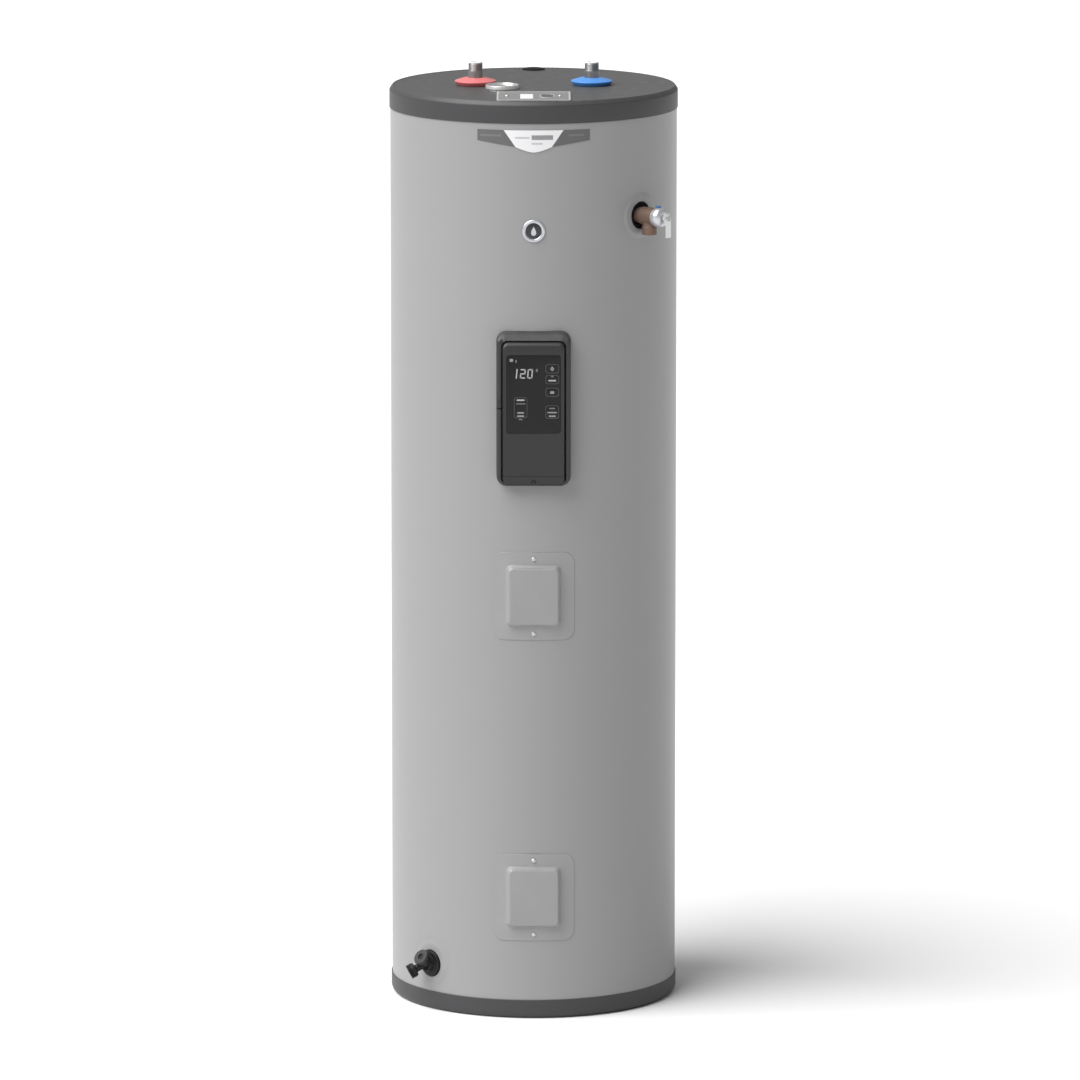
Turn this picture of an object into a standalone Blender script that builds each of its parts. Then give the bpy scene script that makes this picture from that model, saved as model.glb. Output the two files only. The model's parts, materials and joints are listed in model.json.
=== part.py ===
"""Tall electric tank water heater: jacketed steel tank with two screw-in elements, an electronic
control panel, top nipples, a relief valve and a drain valve. Metres, +Z up. The origin is the
centre of the base on the floor, the control panel faces -Y, and the hot outlet is on -X."""

import math

import bmesh
import bpy
from mathutils import Matrix

# Fits and facets
GAP = 0.0003
BIG_STEPS = 48
SMALL_STEPS = 16
ROUND_STEPS = 24
DOME_STEPS = 4
TURN = 2 * math.pi

# Jacket, pans and insulation
JACKET_RADIUS = 0.2510
BODY_TOP = 1.6175
JACKET_WALL = 0.0007
PAN_WALL = 0.0012
TOP_PAN_DEPTH = 0.0385
TOP_EDGE_RADIUS = 0.0055
RIM_BEAD = 0.0010
RIM_WIDTH = 0.0085
BASE_PAN_TOP = 0.0336
BASE_PAN_FLOOR = 0.0025
BASE_LEDGE = 0.0155
BASE_TUCK = 0.0101
BASE_CURVE = 0.0120
FOAM_THICKNESS = 0.0470

# Tank
TANK_WALL = 0.0022
HEAD_WALL = 0.0025
SHELL_TOP_DROP = 0.1275
HEAD_RISE = 0.0550
HEAD_SKIRT = 0.0220
BOTTOM_HEAD_RIM = 0.0450
BOTTOM_HEAD_RISE = 0.0400
SPUD_RADIUS = 0.0190
SPUD_HALF = 0.0120
SPUD_PROUD = 0.0080
PIPE_RADIUS = 0.0126
PIPE_BORE = 0.0101

# Top fittings
NIPPLE_SPACING = 0.2032
NIPPLE_PROUD = 0.0395
LINER_WALL = 0.0016
COLLAR_RADIUS = 0.0365
COLLAR_HEIGHT = 0.0130
COLLAR_BAND = 0.0040
DIP_TUBE_RADIUS = 0.0095
DIP_TUBE_WALL = 0.0013
DIP_TUBE_CLEAR = 0.0650
ANODE_RADIUS = 0.0105
ANODE_LENGTH = 1.1000
ANODE_HEX = 0.0155
ANODE_HEX_HEIGHT = 0.0120
ANODE_CAP_RADIUS = 0.0300
ANODE_CAP_HEIGHT = 0.0065
ANODE_CAP_WALL = 0.0030
ANODE_PLUG = 0.0240
PLUG_LENGTH = 0.0080
ANODE_TO_COLLAR = 0.0027
ANODE_BEARING = math.radians(47.5)
REAR_PLUG_RADIUS = 0.0205
REAR_PLUG_INSET = 0.0300
REAR_PLUG_HEIGHT = 0.0030
REAR_PLUG_SHANK = 0.0150

# Junction box in the front of the top
COVER_WIDTH = 0.1280
COVER_DEPTH = 0.1210
COVER_INSET = 0.0185
COVER_THICKNESS = 0.0012
BOX_MARGIN = 0.0120
BOX_HEIGHT = 0.0520
BOX_WALL = 0.0010
BOX_TAB = 0.0120

# Heating elements, thermostats and their access covers
UPPER_COVER_DROP = 0.8655
LOWER_COVER_HEIGHT = 0.2170
ACCESS_WIDTH = 0.1415
ACCESS_HEIGHT = 0.1546
ACCESS_CORNER = 0.0190
ACCESS_SHEET = 0.0008
BULGE_WIDTH = 0.0930
BULGE_HEIGHT = 0.1060
BULGE_RISE = 0.0085
BULGE_CORNER = 0.0090
BULGE_DRAFT = 0.0030
ACCESS_SCREW_OFFSET = 0.0658
OPENING_MARGIN = 0.0030
ELEMENT_DROP = 0.0200
ELEMENT_LENGTH = 0.2700
ELEMENT_TUBE = 0.0040
ELEMENT_PITCH = 0.0200
ELEMENT_SHANK = 0.0165
ELEMENT_SPUD = 0.0225
ELEMENT_HEX = 0.0219
ELEMENT_HEX_THICKNESS = 0.0070
TERMINAL_DEPTH = 0.0100
THERMOSTAT_SIZE = (0.0450, 0.0180, 0.0380)
THERMOSTAT_RISE = 0.0230
THERMOSTAT_STANDOFF = 0.0015
PAD_WIDTH = 0.0780
PAD_HEIGHT = 0.0900
PAD_DEPTH = 0.0175

# Wiring in its channel through the foam
LEAD_RADIUS = 0.0030
CHANNEL_HALF = 0.0080
CHANNEL_DEPTH = 0.0280
LEAD_DEPTH = 0.0120
LEAD_HOLE = 0.0090

# Control panel
PANEL_DROP = 0.3987
PANEL_WIDTH = 0.1300
PANEL_HEIGHT = 0.2706
PANEL_PROUD = 0.0185
PANEL_CORNER = 0.0180
PANEL_WALL = 0.0025
PANEL_BACK = 0.0120
FASCIA_WIDTH = 0.1090
FASCIA_TOP_DROP = 0.0167
FASCIA_GROOVE = 0.00175
FASCIA_PROUD = 0.0020
FASCIA_DEPTH = 0.0140
FASCIA_PLATE = 0.0035
FASCIA_CORNER = 0.0100
WINDOW_WIDTH = 0.0940
WINDOW_HEIGHT = 0.1370
WINDOW_DROP = 0.0231
WINDOW_THICKNESS = 0.0020
WINDOW_CORNER = 0.0050
WINDOW_LEDGE = 0.0015
BOARD_MARGIN = 0.0050
BOARD_THICKNESS = 0.0016
BOARD_SETBACK = 0.0100
KEY_CORNER = 0.0040
KEY_THICKNESS = 0.0024
KEY_PROUD = 0.0001
KEY_STEM = 0.0020
KEY_TRAVEL = 0.0005
PANEL_SCREW_RISE = 0.0084

# Keys: name, centre across the window, drop below the window's top edge, width, height
KEYS = (
    ("key_plus", 0.0322, 0.0236, 0.0240, 0.0165),
    ("key_minus", 0.0322, 0.0425, 0.0240, 0.0165),
    ("key_units", 0.0322, 0.0646, 0.0240, 0.0165),
    ("key_mode", -0.0225, 0.0917, 0.0236, 0.0370),
    ("key_hold", 0.0322, 0.0992, 0.0240, 0.0240),
)

# Labels and badge
LABEL_SHEET = 0.0003
LABEL_DROP = 0.0495
LABEL_HALF_WIDTH = 0.0970
LABEL_SIDE = 0.0190
LABEL_INNER = 0.0290
SHIELD_HALF_WIDTH = 0.0517
SHIELD_FOOT = 0.0315
SHIELD_TIP = 0.0385
BADGE_DROP = 0.2245
BADGE_RADIUS = 0.0200
BADGE_BORE = 0.0140
BADGE_THICKNESS = 0.0030

# Relief valve
TP_DROP = 0.2080
TP_AZIMUTH = math.radians(47.8)
TP_HOLE = 0.0240
TP_BARREL = 0.0155
TP_BARREL_END = 0.0335
TP_SHANK_STEP = 0.0120
TP_OUTLET = 0.0130
TP_OUTLET_BORE = 0.0095
TP_OUTLET_OUT = 0.0200
TP_OUTLET_DROP = 0.0320
TP_PROBE = 0.0055
TP_PROBE_LENGTH = 0.1000
TP_BONNET = 0.0175
TP_BONNET_END = 0.0535
TP_BONNET_BORE = 0.0105
TP_BONNET_FACE = 0.0040
TP_STEM = 0.0020
TP_SEAT = 0.0120
TP_DISC = 0.0085
TP_PIN_OUT = 0.0600
TP_PIN = 0.0011
TP_EYE = 0.0034
TP_SPRING = 0.0065
TP_SPRING_WIRE = 0.0007
TP_SPRING_TURNS = 5
LEVER_WIDTH = 0.0130
LEVER_SHEET = 0.0012
LEVER_LENGTH = 0.0340
LEVER_HEEL = 0.0082
LEVER_EAR = 0.0042
TAG_SIZE = (0.0100, 0.0090, 0.0016)

# Drain valve
DRAIN_HEIGHT = 0.0830
DRAIN_AZIMUTH = math.radians(-46.0)
DRAIN_HOLE = 0.0237
DRAIN_FLANGE = 0.0228
DRAIN_FLANGE_HALF = 0.0045
DRAIN_BODY = 0.0130
DRAIN_HUB_OUT = 0.0080
DRAIN_HUB_DROP = -0.0030
DRAIN_TILT_UP = math.radians(35.0)
DRAIN_TILT_DOWN = math.radians(28.0)
DRAIN_SWING = math.radians(-34.0)
DRAIN_BOSS = 0.0095
DRAIN_BOSS_LENGTH = 0.0130
DRAIN_NECK = 0.0066
DRAIN_NECK_BORE = 0.0045
DRAIN_THREAD = 0.0132
DRAIN_THREAD_LENGTH = 0.0095
DRAIN_REACH = 0.0375
DRAIN_OUTLET_BORE = 0.0085
DRAIN_STEM = 0.0036
KNOB_RADIUS = 0.0145
KNOB_HEIGHT = 0.0085
KNOB_RECESS = 0.0055
KNOB_RECESS_DEPTH = 0.0030

# Small screws
SCREW_HEAD = 0.0038
SCREW_HEAD_HEIGHT = 0.0022
SCREW_SHANK = 0.0017
SCREW_LENGTH = 0.0080

# Places that follow from the sizes above
PAN_RADIUS = JACKET_RADIUS + GAP + PAN_WALL
TOP_FACE = BODY_TOP - RIM_BEAD
JACKET_TOP = BODY_TOP - TOP_EDGE_RADIUS - PAN_WALL - GAP
JACKET_BOTTOM = BASE_LEDGE + GAP
FOAM_RADIUS = JACKET_RADIUS - JACKET_WALL - GAP
TANK_RADIUS = JACKET_RADIUS - JACKET_WALL - FOAM_THICKNESS
TANK_INNER = TANK_RADIUS - TANK_WALL
HEAD_RADIUS = TANK_INNER - GAP
SHELL_TOP = BODY_TOP - SHELL_TOP_DROP
NIPPLE_TOP = BODY_TOP + NIPPLE_PROUD
COVER_FRONT = -(PAN_RADIUS - COVER_INSET)
COVER_CENTRE = COVER_FRONT + COVER_DEPTH / 2
ANODE_REACH = COLLAR_RADIUS + ANODE_CAP_RADIUS + ANODE_TO_COLLAR
ANODE_X = -NIPPLE_SPACING / 2 + ANODE_REACH * math.cos(ANODE_BEARING)
ANODE_Y = -ANODE_REACH * math.sin(ANODE_BEARING)
UPPER_COVER_Z = BODY_TOP - UPPER_COVER_DROP
PANEL_TOP = BODY_TOP - PANEL_DROP
PANEL_BOTTOM = PANEL_TOP - PANEL_HEIGHT
PANEL_FRONT = -(JACKET_RADIUS + PANEL_PROUD)
FASCIA_FRONT = PANEL_FRONT - FASCIA_PROUD
FASCIA_TOP = PANEL_TOP - FASCIA_TOP_DROP
FASCIA_BOTTOM = PANEL_BOTTOM + PANEL_WALL + GAP
FASCIA_CENTRE = (FASCIA_TOP + FASCIA_BOTTOM) / 2
FASCIA_HEIGHT = FASCIA_TOP - FASCIA_BOTTOM
WINDOW_TOP = FASCIA_TOP - WINDOW_DROP
WINDOW_CENTRE = WINDOW_TOP - WINDOW_HEIGHT / 2
BOARD_FRONT = FASCIA_FRONT + BOARD_SETBACK
LEAD_Y = -(JACKET_RADIUS - LEAD_DEPTH)
TERMINAL_Y = -(TANK_RADIUS + SPUD_PROUD + ELEMENT_HEX_THICKNESS + TERMINAL_DEPTH / 2 + 0.002)
TP_HEIGHT = BODY_TOP - TP_DROP

scene = bpy.context.scene
for leftover in list(bpy.data.objects):
    bpy.data.objects.remove(leftover, do_unlink=True)
parts = bpy.data.collections.new("tank_water_heater")
tools = bpy.data.collections.new("cutters")
scene.collection.children.link(parts)
scene.collection.children.link(tools)


def material(name, colour, roughness, metallic=0.0):
    """A plain Principled material in the piece's own colour."""
    made = bpy.data.materials.new(name)
    made.use_nodes = True
    shader = made.node_tree.nodes["Principled BSDF"]
    shader.inputs["Base Color"].default_value = (*colour, 1.0)
    shader.inputs["Roughness"].default_value = roughness
    shader.inputs["Metallic"].default_value = metallic
    return made


MATERIALS = {
    "jacket_paint": material("jacket_paint", (0.42, 0.42, 0.42), 0.45),
    "pan_plastic": material("pan_plastic", (0.09, 0.09, 0.095), 0.55),
    "foam": material("foam", (0.80, 0.68, 0.38), 0.9),
    "tank_steel": material("tank_steel", (0.10, 0.14, 0.22), 0.4, 0.3),
    "steel": material("steel", (0.42, 0.42, 0.42), 0.35, 1.0),
    "chrome": material("chrome", (0.75, 0.76, 0.78), 0.15, 1.0),
    "brass": material("brass", (0.30, 0.16, 0.09), 0.35, 0.8),
    "red_plastic": material("red_plastic", (0.72, 0.14, 0.14), 0.45),
    "blue_plastic": material("blue_plastic", (0.06, 0.25, 0.75), 0.45),
    "white_plastic": material("white_plastic", (0.82, 0.82, 0.80), 0.5),
    "black_plastic": material("black_plastic", (0.03, 0.03, 0.03), 0.5),
    "control_plastic": material("control_plastic", (0.06, 0.06, 0.065), 0.5),
    "display_gloss": material("display_gloss", (0.03, 0.03, 0.03), 0.2),
    "label_grey": material("label_grey", (0.13, 0.13, 0.13), 0.5),
    "label_white": material("label_white", (0.85, 0.85, 0.86), 0.5),
    "magnesium": material("magnesium", (0.55, 0.56, 0.57), 0.5, 1.0),
    "board_green": material("board_green", (0.03, 0.20, 0.07), 0.5),
    "wire_sleeve": material("wire_sleeve", (0.10, 0.10, 0.10), 0.6),
}


def new_object(name, mesh, slot=None):
    """Puts a mesh in the model with its material, or among the cutters if it has no slot."""
    made = bpy.data.objects.new(name, mesh)
    if slot:
        parts.objects.link(made)
        mesh.materials.append(MATERIALS[slot])
    else:
        tools.objects.link(made)
        made.hide_render = True
        made.display_type = "WIRE"
    return made


def from_bmesh(name, bm, slot=None):
    """Turns a finished bmesh into an object with smooth round sides and crisp edges."""
    mesh = bpy.data.meshes.new(name)
    bm.to_mesh(mesh)
    bm.free()
    mesh.shade_smooth()
    mesh.set_sharp_from_angle(angle=math.radians(35))
    return new_object(name, mesh, slot)


def at(made, x=0.0, y=0.0, z=0.0, turn=(0.0, 0.0, 0.0), parent=None):
    """Places an object by its location and rotation, under an empty if one is given."""
    made.location = (x, y, z)
    made.rotation_euler = turn
    made.parent = parent
    return made


def turned(name, profile, slot=None, steps=SMALL_STEPS, ring=False):
    """A turned shape: (radius, height) points that run down the outer side, round the Z axis."""
    bm = bmesh.new()
    verts = [bm.verts.new((radius, 0.0, height)) for radius, height in profile]
    pairs = list(zip(verts, verts[1:])) + ([(verts[-1], verts[0])] if ring else [])
    for first, second in pairs:
        bm.edges.new((first, second))
    made = from_bmesh(name, bm, slot)
    screw = made.modifiers.new("Turn", "SCREW")
    screw.angle = TURN
    screw.steps = steps
    screw.render_steps = steps
    screw.use_merge_vertices = True
    screw.merge_threshold = 0.00001
    return made


def tube(name, outer, inner, top, bottom, slot=None, steps=SMALL_STEPS):
    """A straight tube round the Z axis."""
    profile = [(outer, top), (outer, bottom), (inner, bottom), (inner, top)]
    return turned(name, profile, slot, steps, ring=True)


def rod(name, radius, start, end, slot=None, steps=SMALL_STEPS, end_radius=None):
    """A solid cylinder or cone frustum along Z from start to end."""
    bm = bmesh.new()
    bmesh.ops.create_cone(
        bm,
        cap_ends=True,
        segments=steps,
        radius1=radius,
        radius2=radius if end_radius is None else end_radius,
        depth=end - start,
        matrix=Matrix.Translation((0.0, 0.0, (start + end) / 2)),
    )
    return from_bmesh(name, bm, slot)


def block(name, size, slot=None, bevel=0.0):
    """A box centred on its own origin, with its edges rounded if a bevel is given."""
    bm = bmesh.new()
    bmesh.ops.create_cube(bm, size=1.0, matrix=Matrix.Diagonal((*size, 1.0)))
    made = from_bmesh(name, bm, slot)
    if bevel:
        edge = made.modifiers.new("Edges", "BEVEL")
        edge.width = bevel
        edge.segments = 2
    return made


def curve_mesh(name, curve, slot=None):
    """A mesh object made from a curve, with its caps welded to its sides."""
    source = bpy.data.objects.new(name + "_curve", curve)
    tools.objects.link(source)
    bpy.context.view_layer.update()
    evaluated = source.evaluated_get(bpy.context.evaluated_depsgraph_get())
    mesh = bpy.data.meshes.new_from_object(evaluated)
    bpy.data.objects.remove(source, do_unlink=True)
    bm = bmesh.new()
    bm.from_mesh(mesh)
    bpy.data.meshes.remove(mesh)
    bmesh.ops.remove_doubles(bm, verts=bm.verts, dist=0.00001)
    bmesh.ops.recalc_face_normals(bm, faces=bm.faces)
    return from_bmesh(name, bm, slot)


def prism(name, outline, depth, slot=None, draft=0.0):
    """A flat outline of (across, up) points that faces -Y, depth thick about its own origin.
    A draft moves each front corner inwards by that much."""
    curve = bpy.data.curves.new(name, "CURVE")
    curve.dimensions = "2D"
    curve.fill_mode = "BOTH"
    curve.extrude = depth / 2
    spline = curve.splines.new("POLY")
    spline.points.add(len(outline) - 1)
    for point, (across, up) in zip(spline.points, outline):
        point.co = (across, up, 0.0, 1.0)
    spline.use_cyclic_u = True
    made = curve_mesh(name, curve, slot)
    made.data.transform(Matrix.Rotation(math.pi / 2, 4, "X"))
    if draft:
        wide = max(across for across, up in outline)
        tall = max(up for across, up in outline)
        for vert in made.data.vertices:
            if vert.co.y < 0:
                vert.co.x *= 1 - draft / wide
                vert.co.z *= 1 - draft / tall
    return made


def rounded(width, height, corner, steps=3):
    """The outline of a rectangle with round corners."""
    points = []
    for quarter in range(4):
        sign_x = 1 if quarter in (0, 3) else -1
        sign_z = 1 if quarter in (0, 1) else -1
        for step in range(steps + 1):
            angle = (quarter + step / steps) * math.pi / 2
            across = sign_x * (width / 2 - corner) + corner * math.cos(angle)
            up = sign_z * (height / 2 - corner) + corner * math.sin(angle)
            points.append((across, up))
    return points


def wire(name, points, radius, slot=None):
    """A round wire or tube along points, with capped ends."""
    curve = bpy.data.curves.new(name, "CURVE")
    curve.dimensions = "3D"
    curve.bevel_depth = radius
    curve.bevel_resolution = 2
    curve.use_fill_caps = True
    spline = curve.splines.new("POLY")
    spline.points.add(len(points) - 1)
    for point, place in zip(spline.points, points):
        point.co = (*place, 1.0)
    return curve_mesh(name, curve, slot)


def smooth_route(corners, bend, steps=4):
    """Points along a route whose corners are rounded by a quadratic bend of the given length."""
    route = [corners[0]]
    for before, corner, after in zip(corners, corners[1:], corners[2:]):
        ends = []
        for other in (before, after):
            span = math.dist(corner, other)
            reach = min(bend, span / 2.2)
            ends.append([c + (o - c) * reach / span for c, o in zip(corner, other)])
        for step in range(steps + 1):
            t = step / steps
            route.append(
                [
                    (1 - t) ** 2 * a + 2 * t * (1 - t) * c + t**2 * b
                    for a, c, b in zip(ends[0], corner, ends[1])
                ]
            )
    route.append(corners[-1])
    return route


def combine(made, tool, operation):
    """Joins a tool to a piece, or cuts it away, with an exact Boolean."""
    boolean = made.modifiers.new(tool.name, "BOOLEAN")
    boolean.operation = operation
    boolean.solver = "EXACT"
    boolean.object = tool
    return made


def cut(made, *cutters):
    for cutter in cutters:
        combine(made, cutter, "DIFFERENCE")
    return made


def join(made, *pieces):
    for piece in pieces:
        combine(made, piece, "UNION")
    return made


def dome_height(radius, base, rise):
    """Height above its rim of a spherical dome with the given base radius and rise."""
    sphere = (base**2 + rise**2) / (2 * rise)
    return math.sqrt(sphere**2 - radius**2) - (sphere - rise)


def arc(centre, radius, start, end, steps):
    """Points on an arc in the profile plane, with its angles in degrees."""
    angles = [math.radians(start + (end - start) * i / steps) for i in range(steps + 1)]
    return [(centre[0] + radius * math.cos(a), centre[1] + radius * math.sin(a)) for a in angles]


def axis_empty(name, azimuth, height):
    """An empty on the tank's axis whose +X points out of the side of the tank."""
    made = bpy.data.objects.new(name, None)
    parts.objects.link(made)
    made.location = (0.0, 0.0, height)
    made.rotation_euler = (0.0, 0.0, azimuth - math.pi / 2)
    return made


OUTWARD = (0.0, math.pi / 2, 0.0)
FORWARD = (math.pi / 2, 0.0, 0.0)
tp_axis = axis_empty("tp_axis", TP_AZIMUTH, TP_HEIGHT)
drain_axis = axis_empty("drain_axis", DRAIN_AZIMUTH, DRAIN_HEIGHT)
access_places = (("upper", UPPER_COVER_Z), ("lower", LOWER_COVER_HEIGHT))
nipple_places = (("hot", -NIPPLE_SPACING / 2), ("cold", NIPPLE_SPACING / 2))
spud_places = [(side, x, 0.0) for side, x in nipple_places] + [("anode", ANODE_X, ANODE_Y)]


def spud_height(x, y):
    """Height of the middle of a top spud, which sits on the dome."""
    return SHELL_TOP + dome_height(math.hypot(x, y), HEAD_RADIUS, HEAD_RISE)


def radial_hole(name, radius, azimuth_empty, start, end):
    """A round cutter that runs out through the side of the tank."""
    return at(rod(name, radius, start, end), turn=OUTWARD, parent=azimuth_empty)


def screw_hole(name, radius, y_start, y_end, x, z):
    """A round cutter along the Y axis."""
    return at(rod(name, radius, -y_end, -y_start), x, 0.0, z, turn=FORWARD)


def cylinder_screw(name, slot, x, y, z, turn):
    """A pan-head screw whose head seats at the given place and faces along its own +Z."""
    profile = [
        (0.0, SCREW_HEAD_HEIGHT),
        (SCREW_HEAD * 0.6, SCREW_HEAD_HEIGHT * 0.9),
        (SCREW_HEAD, SCREW_HEAD_HEIGHT * 0.4),
        (SCREW_HEAD, GAP),
        (SCREW_SHANK, GAP),
        (SCREW_SHANK, -SCREW_LENGTH),
        (0.0, -SCREW_LENGTH),
    ]
    return at(turned(name, profile, slot, 12), x, y, z, turn)


def make_top_pan():
    """The moulded top with its rolled rim, cut for the nipples, the box, the anode and the plug."""
    r, top, e = PAN_RADIUS, BODY_TOP, TOP_EDGE_RADIUS
    outer = [(0.0, TOP_FACE), (r - RIM_WIDTH, TOP_FACE), (r - RIM_WIDTH + 2 * RIM_BEAD, top)]
    outer += arc((r - e, top - e), e, 90, 0, 3) + [(r, top - TOP_PAN_DEPTH)]
    inner = [(r - PAN_WALL, top - TOP_PAN_DEPTH), (r - PAN_WALL, top - e)]
    inner += [(r - e, top - e / 2 - PAN_WALL), (r - RIM_WIDTH, TOP_FACE - PAN_WALL)]
    pan = turned("top_pan", outer + inner + [(0.0, TOP_FACE - PAN_WALL)], "pan_plastic", BIG_STEPS)
    for side, x in nipple_places:
        hole = rod(f"{side}_pan_hole", PIPE_RADIUS + 0.0015, TOP_FACE - 0.02, BODY_TOP + 0.02)
        cut(pan, at(hole, x))
    box_hole = block("box_pan_hole", (COVER_WIDTH - 2 * BOX_MARGIN + 2 * GAP,
                                      COVER_DEPTH - 2 * BOX_MARGIN + 2 * GAP, 0.03))
    anode_hole = rod("anode_pan_hole", ANODE_PLUG, TOP_FACE - 0.02, BODY_TOP + 0.02,
                     steps=ROUND_STEPS)
    plug_hole = rod("plug_pan_hole", REAR_PLUG_SHANK, TOP_FACE - 0.02, BODY_TOP + 0.02,
                    steps=ROUND_STEPS)
    cut(pan, at(box_hole, 0.0, COVER_CENTRE, TOP_FACE), at(anode_hole, ANODE_X, ANODE_Y))
    cut(pan, at(plug_hole, 0.0, PAN_RADIUS - REAR_PLUG_INSET))


def make_bottom_pan():
    """The moulded base tray that the jacket and the tank stand in."""
    r = PAN_RADIUS
    profile = [
        (0.0, BASE_PAN_FLOOR),
        (r - BASE_TUCK - 0.0065, BASE_PAN_FLOOR),
        (r - 0.0070, BASE_LEDGE),
        (r - PAN_WALL, BASE_LEDGE),
        (r - PAN_WALL, BASE_PAN_TOP),
        (r, BASE_PAN_TOP),
    ]
    for step in range(4):
        angle = step / 3 * math.pi / 2
        profile.append((r - BASE_TUCK * (1 - math.cos(angle)), BASE_CURVE * (1 - math.sin(angle))))
    profile.append((0.0, 0.0))
    turned("bottom_pan", profile, "pan_plastic", BIG_STEPS)


def make_jacket():
    """The painted sheet steel jacket with its access, valve, lead and screw holes."""
    wall = JACKET_WALL
    jacket = tube("outer_jacket", JACKET_RADIUS, JACKET_RADIUS - wall, JACKET_TOP, JACKET_BOTTOM,
                  "jacket_paint", BIG_STEPS)
    near, far = JACKET_RADIUS - 0.02, JACKET_RADIUS + 0.02
    cut(jacket, radial_hole("tp_jacket_hole", TP_HOLE, tp_axis, near, far))
    cut(jacket, radial_hole("drain_jacket_hole", DRAIN_HOLE, drain_axis, near, far))
    for side, z in access_places:
        cut(jacket, at(access_opening(f"{side}_jacket_opening", 0.04), 0.0, -JACKET_RADIUS, z))
        for end, offset in (("top", ACCESS_SCREW_OFFSET), ("bottom", -ACCESS_SCREW_OFFSET)):
            cut(jacket, screw_hole(f"{side}_{end}_jacket_hole", SCREW_SHANK + GAP,
                                   -far, -near, 0.0, z + offset))
    for name, z in (("upper", PANEL_TOP - 0.055), ("lower", PANEL_BOTTOM + 0.050)):
        cut(jacket, screw_hole(f"{name}_lead_hole", LEAD_HOLE, -far, -near, 0.0, z))


def access_opening(name, depth):
    """A cutter the size of the opening behind an access cover."""
    width = BULGE_WIDTH - 2 * OPENING_MARGIN
    height = BULGE_HEIGHT - 2 * OPENING_MARGIN
    return prism(name, rounded(width, height, BULGE_CORNER), depth)


def make_foam():
    """The foamed-in-place insulation between tank and jacket, with the cavities moulded in it."""
    top = TOP_FACE - PAN_WALL - GAP
    skin = TANK_RADIUS + GAP
    profile = [(0.0, top), (PAN_RADIUS - RIM_WIDTH, top), (FOAM_RADIUS, JACKET_TOP)]
    profile += [(FOAM_RADIUS, JACKET_BOTTOM), (skin, JACKET_BOTTOM), (skin, SHELL_TOP + GAP)]
    for step in range(DOME_STEPS + 1):
        radius = HEAD_RADIUS * (1 - step / DOME_STEPS)
        rise = dome_height(radius, HEAD_RADIUS, HEAD_RISE)
        profile.append((radius, SHELL_TOP + 2 * GAP + rise))
    foam = turned("foam_insulation", profile, "foam", BIG_STEPS)
    inner, outer = TANK_INNER, JACKET_RADIUS + 0.01
    cut(foam, radial_hole("tp_foam_hole", TP_HOLE, tp_axis, inner, outer))
    cut(foam, radial_hole("drain_foam_hole", DRAIN_HOLE, drain_axis, inner, outer))
    for side, z in access_places:
        depth = outer - inner
        cut(foam, at(access_opening(f"{side}_foam_cavity", depth), 0.0, -(inner + outer) / 2, z))
        for end, offset in (("top", ACCESS_SCREW_OFFSET), ("bottom", -ACCESS_SCREW_OFFSET)):
            cut(foam, screw_hole(f"{side}_{end}_foam_hole", SCREW_SHANK + GAP,
                                 -outer, -(JACKET_RADIUS - SCREW_LENGTH - 0.004), 0.0, z + offset))
    for side, x, y in spud_places:
        low = spud_height(x, y) - SPUD_HALF
        cut(foam, at(rod(f"{side}_foam_hole", SPUD_RADIUS + 0.0015, low, BODY_TOP), x, y))
    box_size = (COVER_WIDTH - 2 * BOX_MARGIN + 2 * GAP, COVER_DEPTH - 2 * BOX_MARGIN + 2 * GAP,
                2 * (BOX_HEIGHT + GAP))
    cut(foam, at(block("box_foam_recess", box_size), 0.0, COVER_CENTRE, TOP_FACE))
    recess_floor = TOP_FACE - PLUG_LENGTH - 0.002
    cut(foam, at(rod("plug_foam_recess", REAR_PLUG_SHANK, recess_floor, BODY_TOP,
                     steps=ROUND_STEPS), 0.0, PAN_RADIUS - REAR_PLUG_INSET))
    cut(foam, at(rod("anode_foam_recess", ANODE_PLUG, recess_floor, BODY_TOP,
                     steps=ROUND_STEPS), ANODE_X, ANODE_Y))
    channel_top = TOP_FACE - BOX_HEIGHT - 0.060
    channel_size = (2 * CHANNEL_HALF, CHANNEL_DEPTH, channel_top - LOWER_COVER_HEIGHT)
    channel = block("lead_channel", channel_size)
    back = -(JACKET_RADIUS + 0.001) + CHANNEL_DEPTH / 2
    cut(foam, at(channel, 0.0, back, (channel_top + LOWER_COVER_HEIGHT) / 2))
    notch_back = -(TANK_RADIUS + THERMOSTAT_STANDOFF + THERMOSTAT_SIZE[1] / 2) + 2 * LEAD_RADIUS
    notch_front = -(JACKET_RADIUS + 0.001)
    for side, z in access_places:
        low = z + BULGE_HEIGHT / 2 - OPENING_MARGIN - 0.002
        notch = block(f"{side}_lead_notch", (1.8 * CHANNEL_HALF, notch_back - notch_front, 0.024))
        cut(foam, at(notch, 0.0, (notch_back + notch_front) / 2, low + 0.012))
    exit_back = TERMINAL_Y + 2 * LEAD_RADIUS
    exit_top = UPPER_COVER_Z - BULGE_HEIGHT / 2 + OPENING_MARGIN + 0.002
    lead_exit = block("lead_exit", (1.8 * CHANNEL_HALF, exit_back - notch_front, 0.024))
    cut(foam, at(lead_exit, 0.0, (exit_back + notch_front) / 2, exit_top - 0.012))
    run_back = COVER_CENTRE + 0.015
    run_depth = run_back + JACKET_RADIUS - 0.008
    run = block("lead_run", (1.9 * CHANNEL_HALF, run_depth, 0.080))
    cut(foam, at(run, 0.0, run_back - run_depth / 2, channel_top + 0.038))


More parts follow.
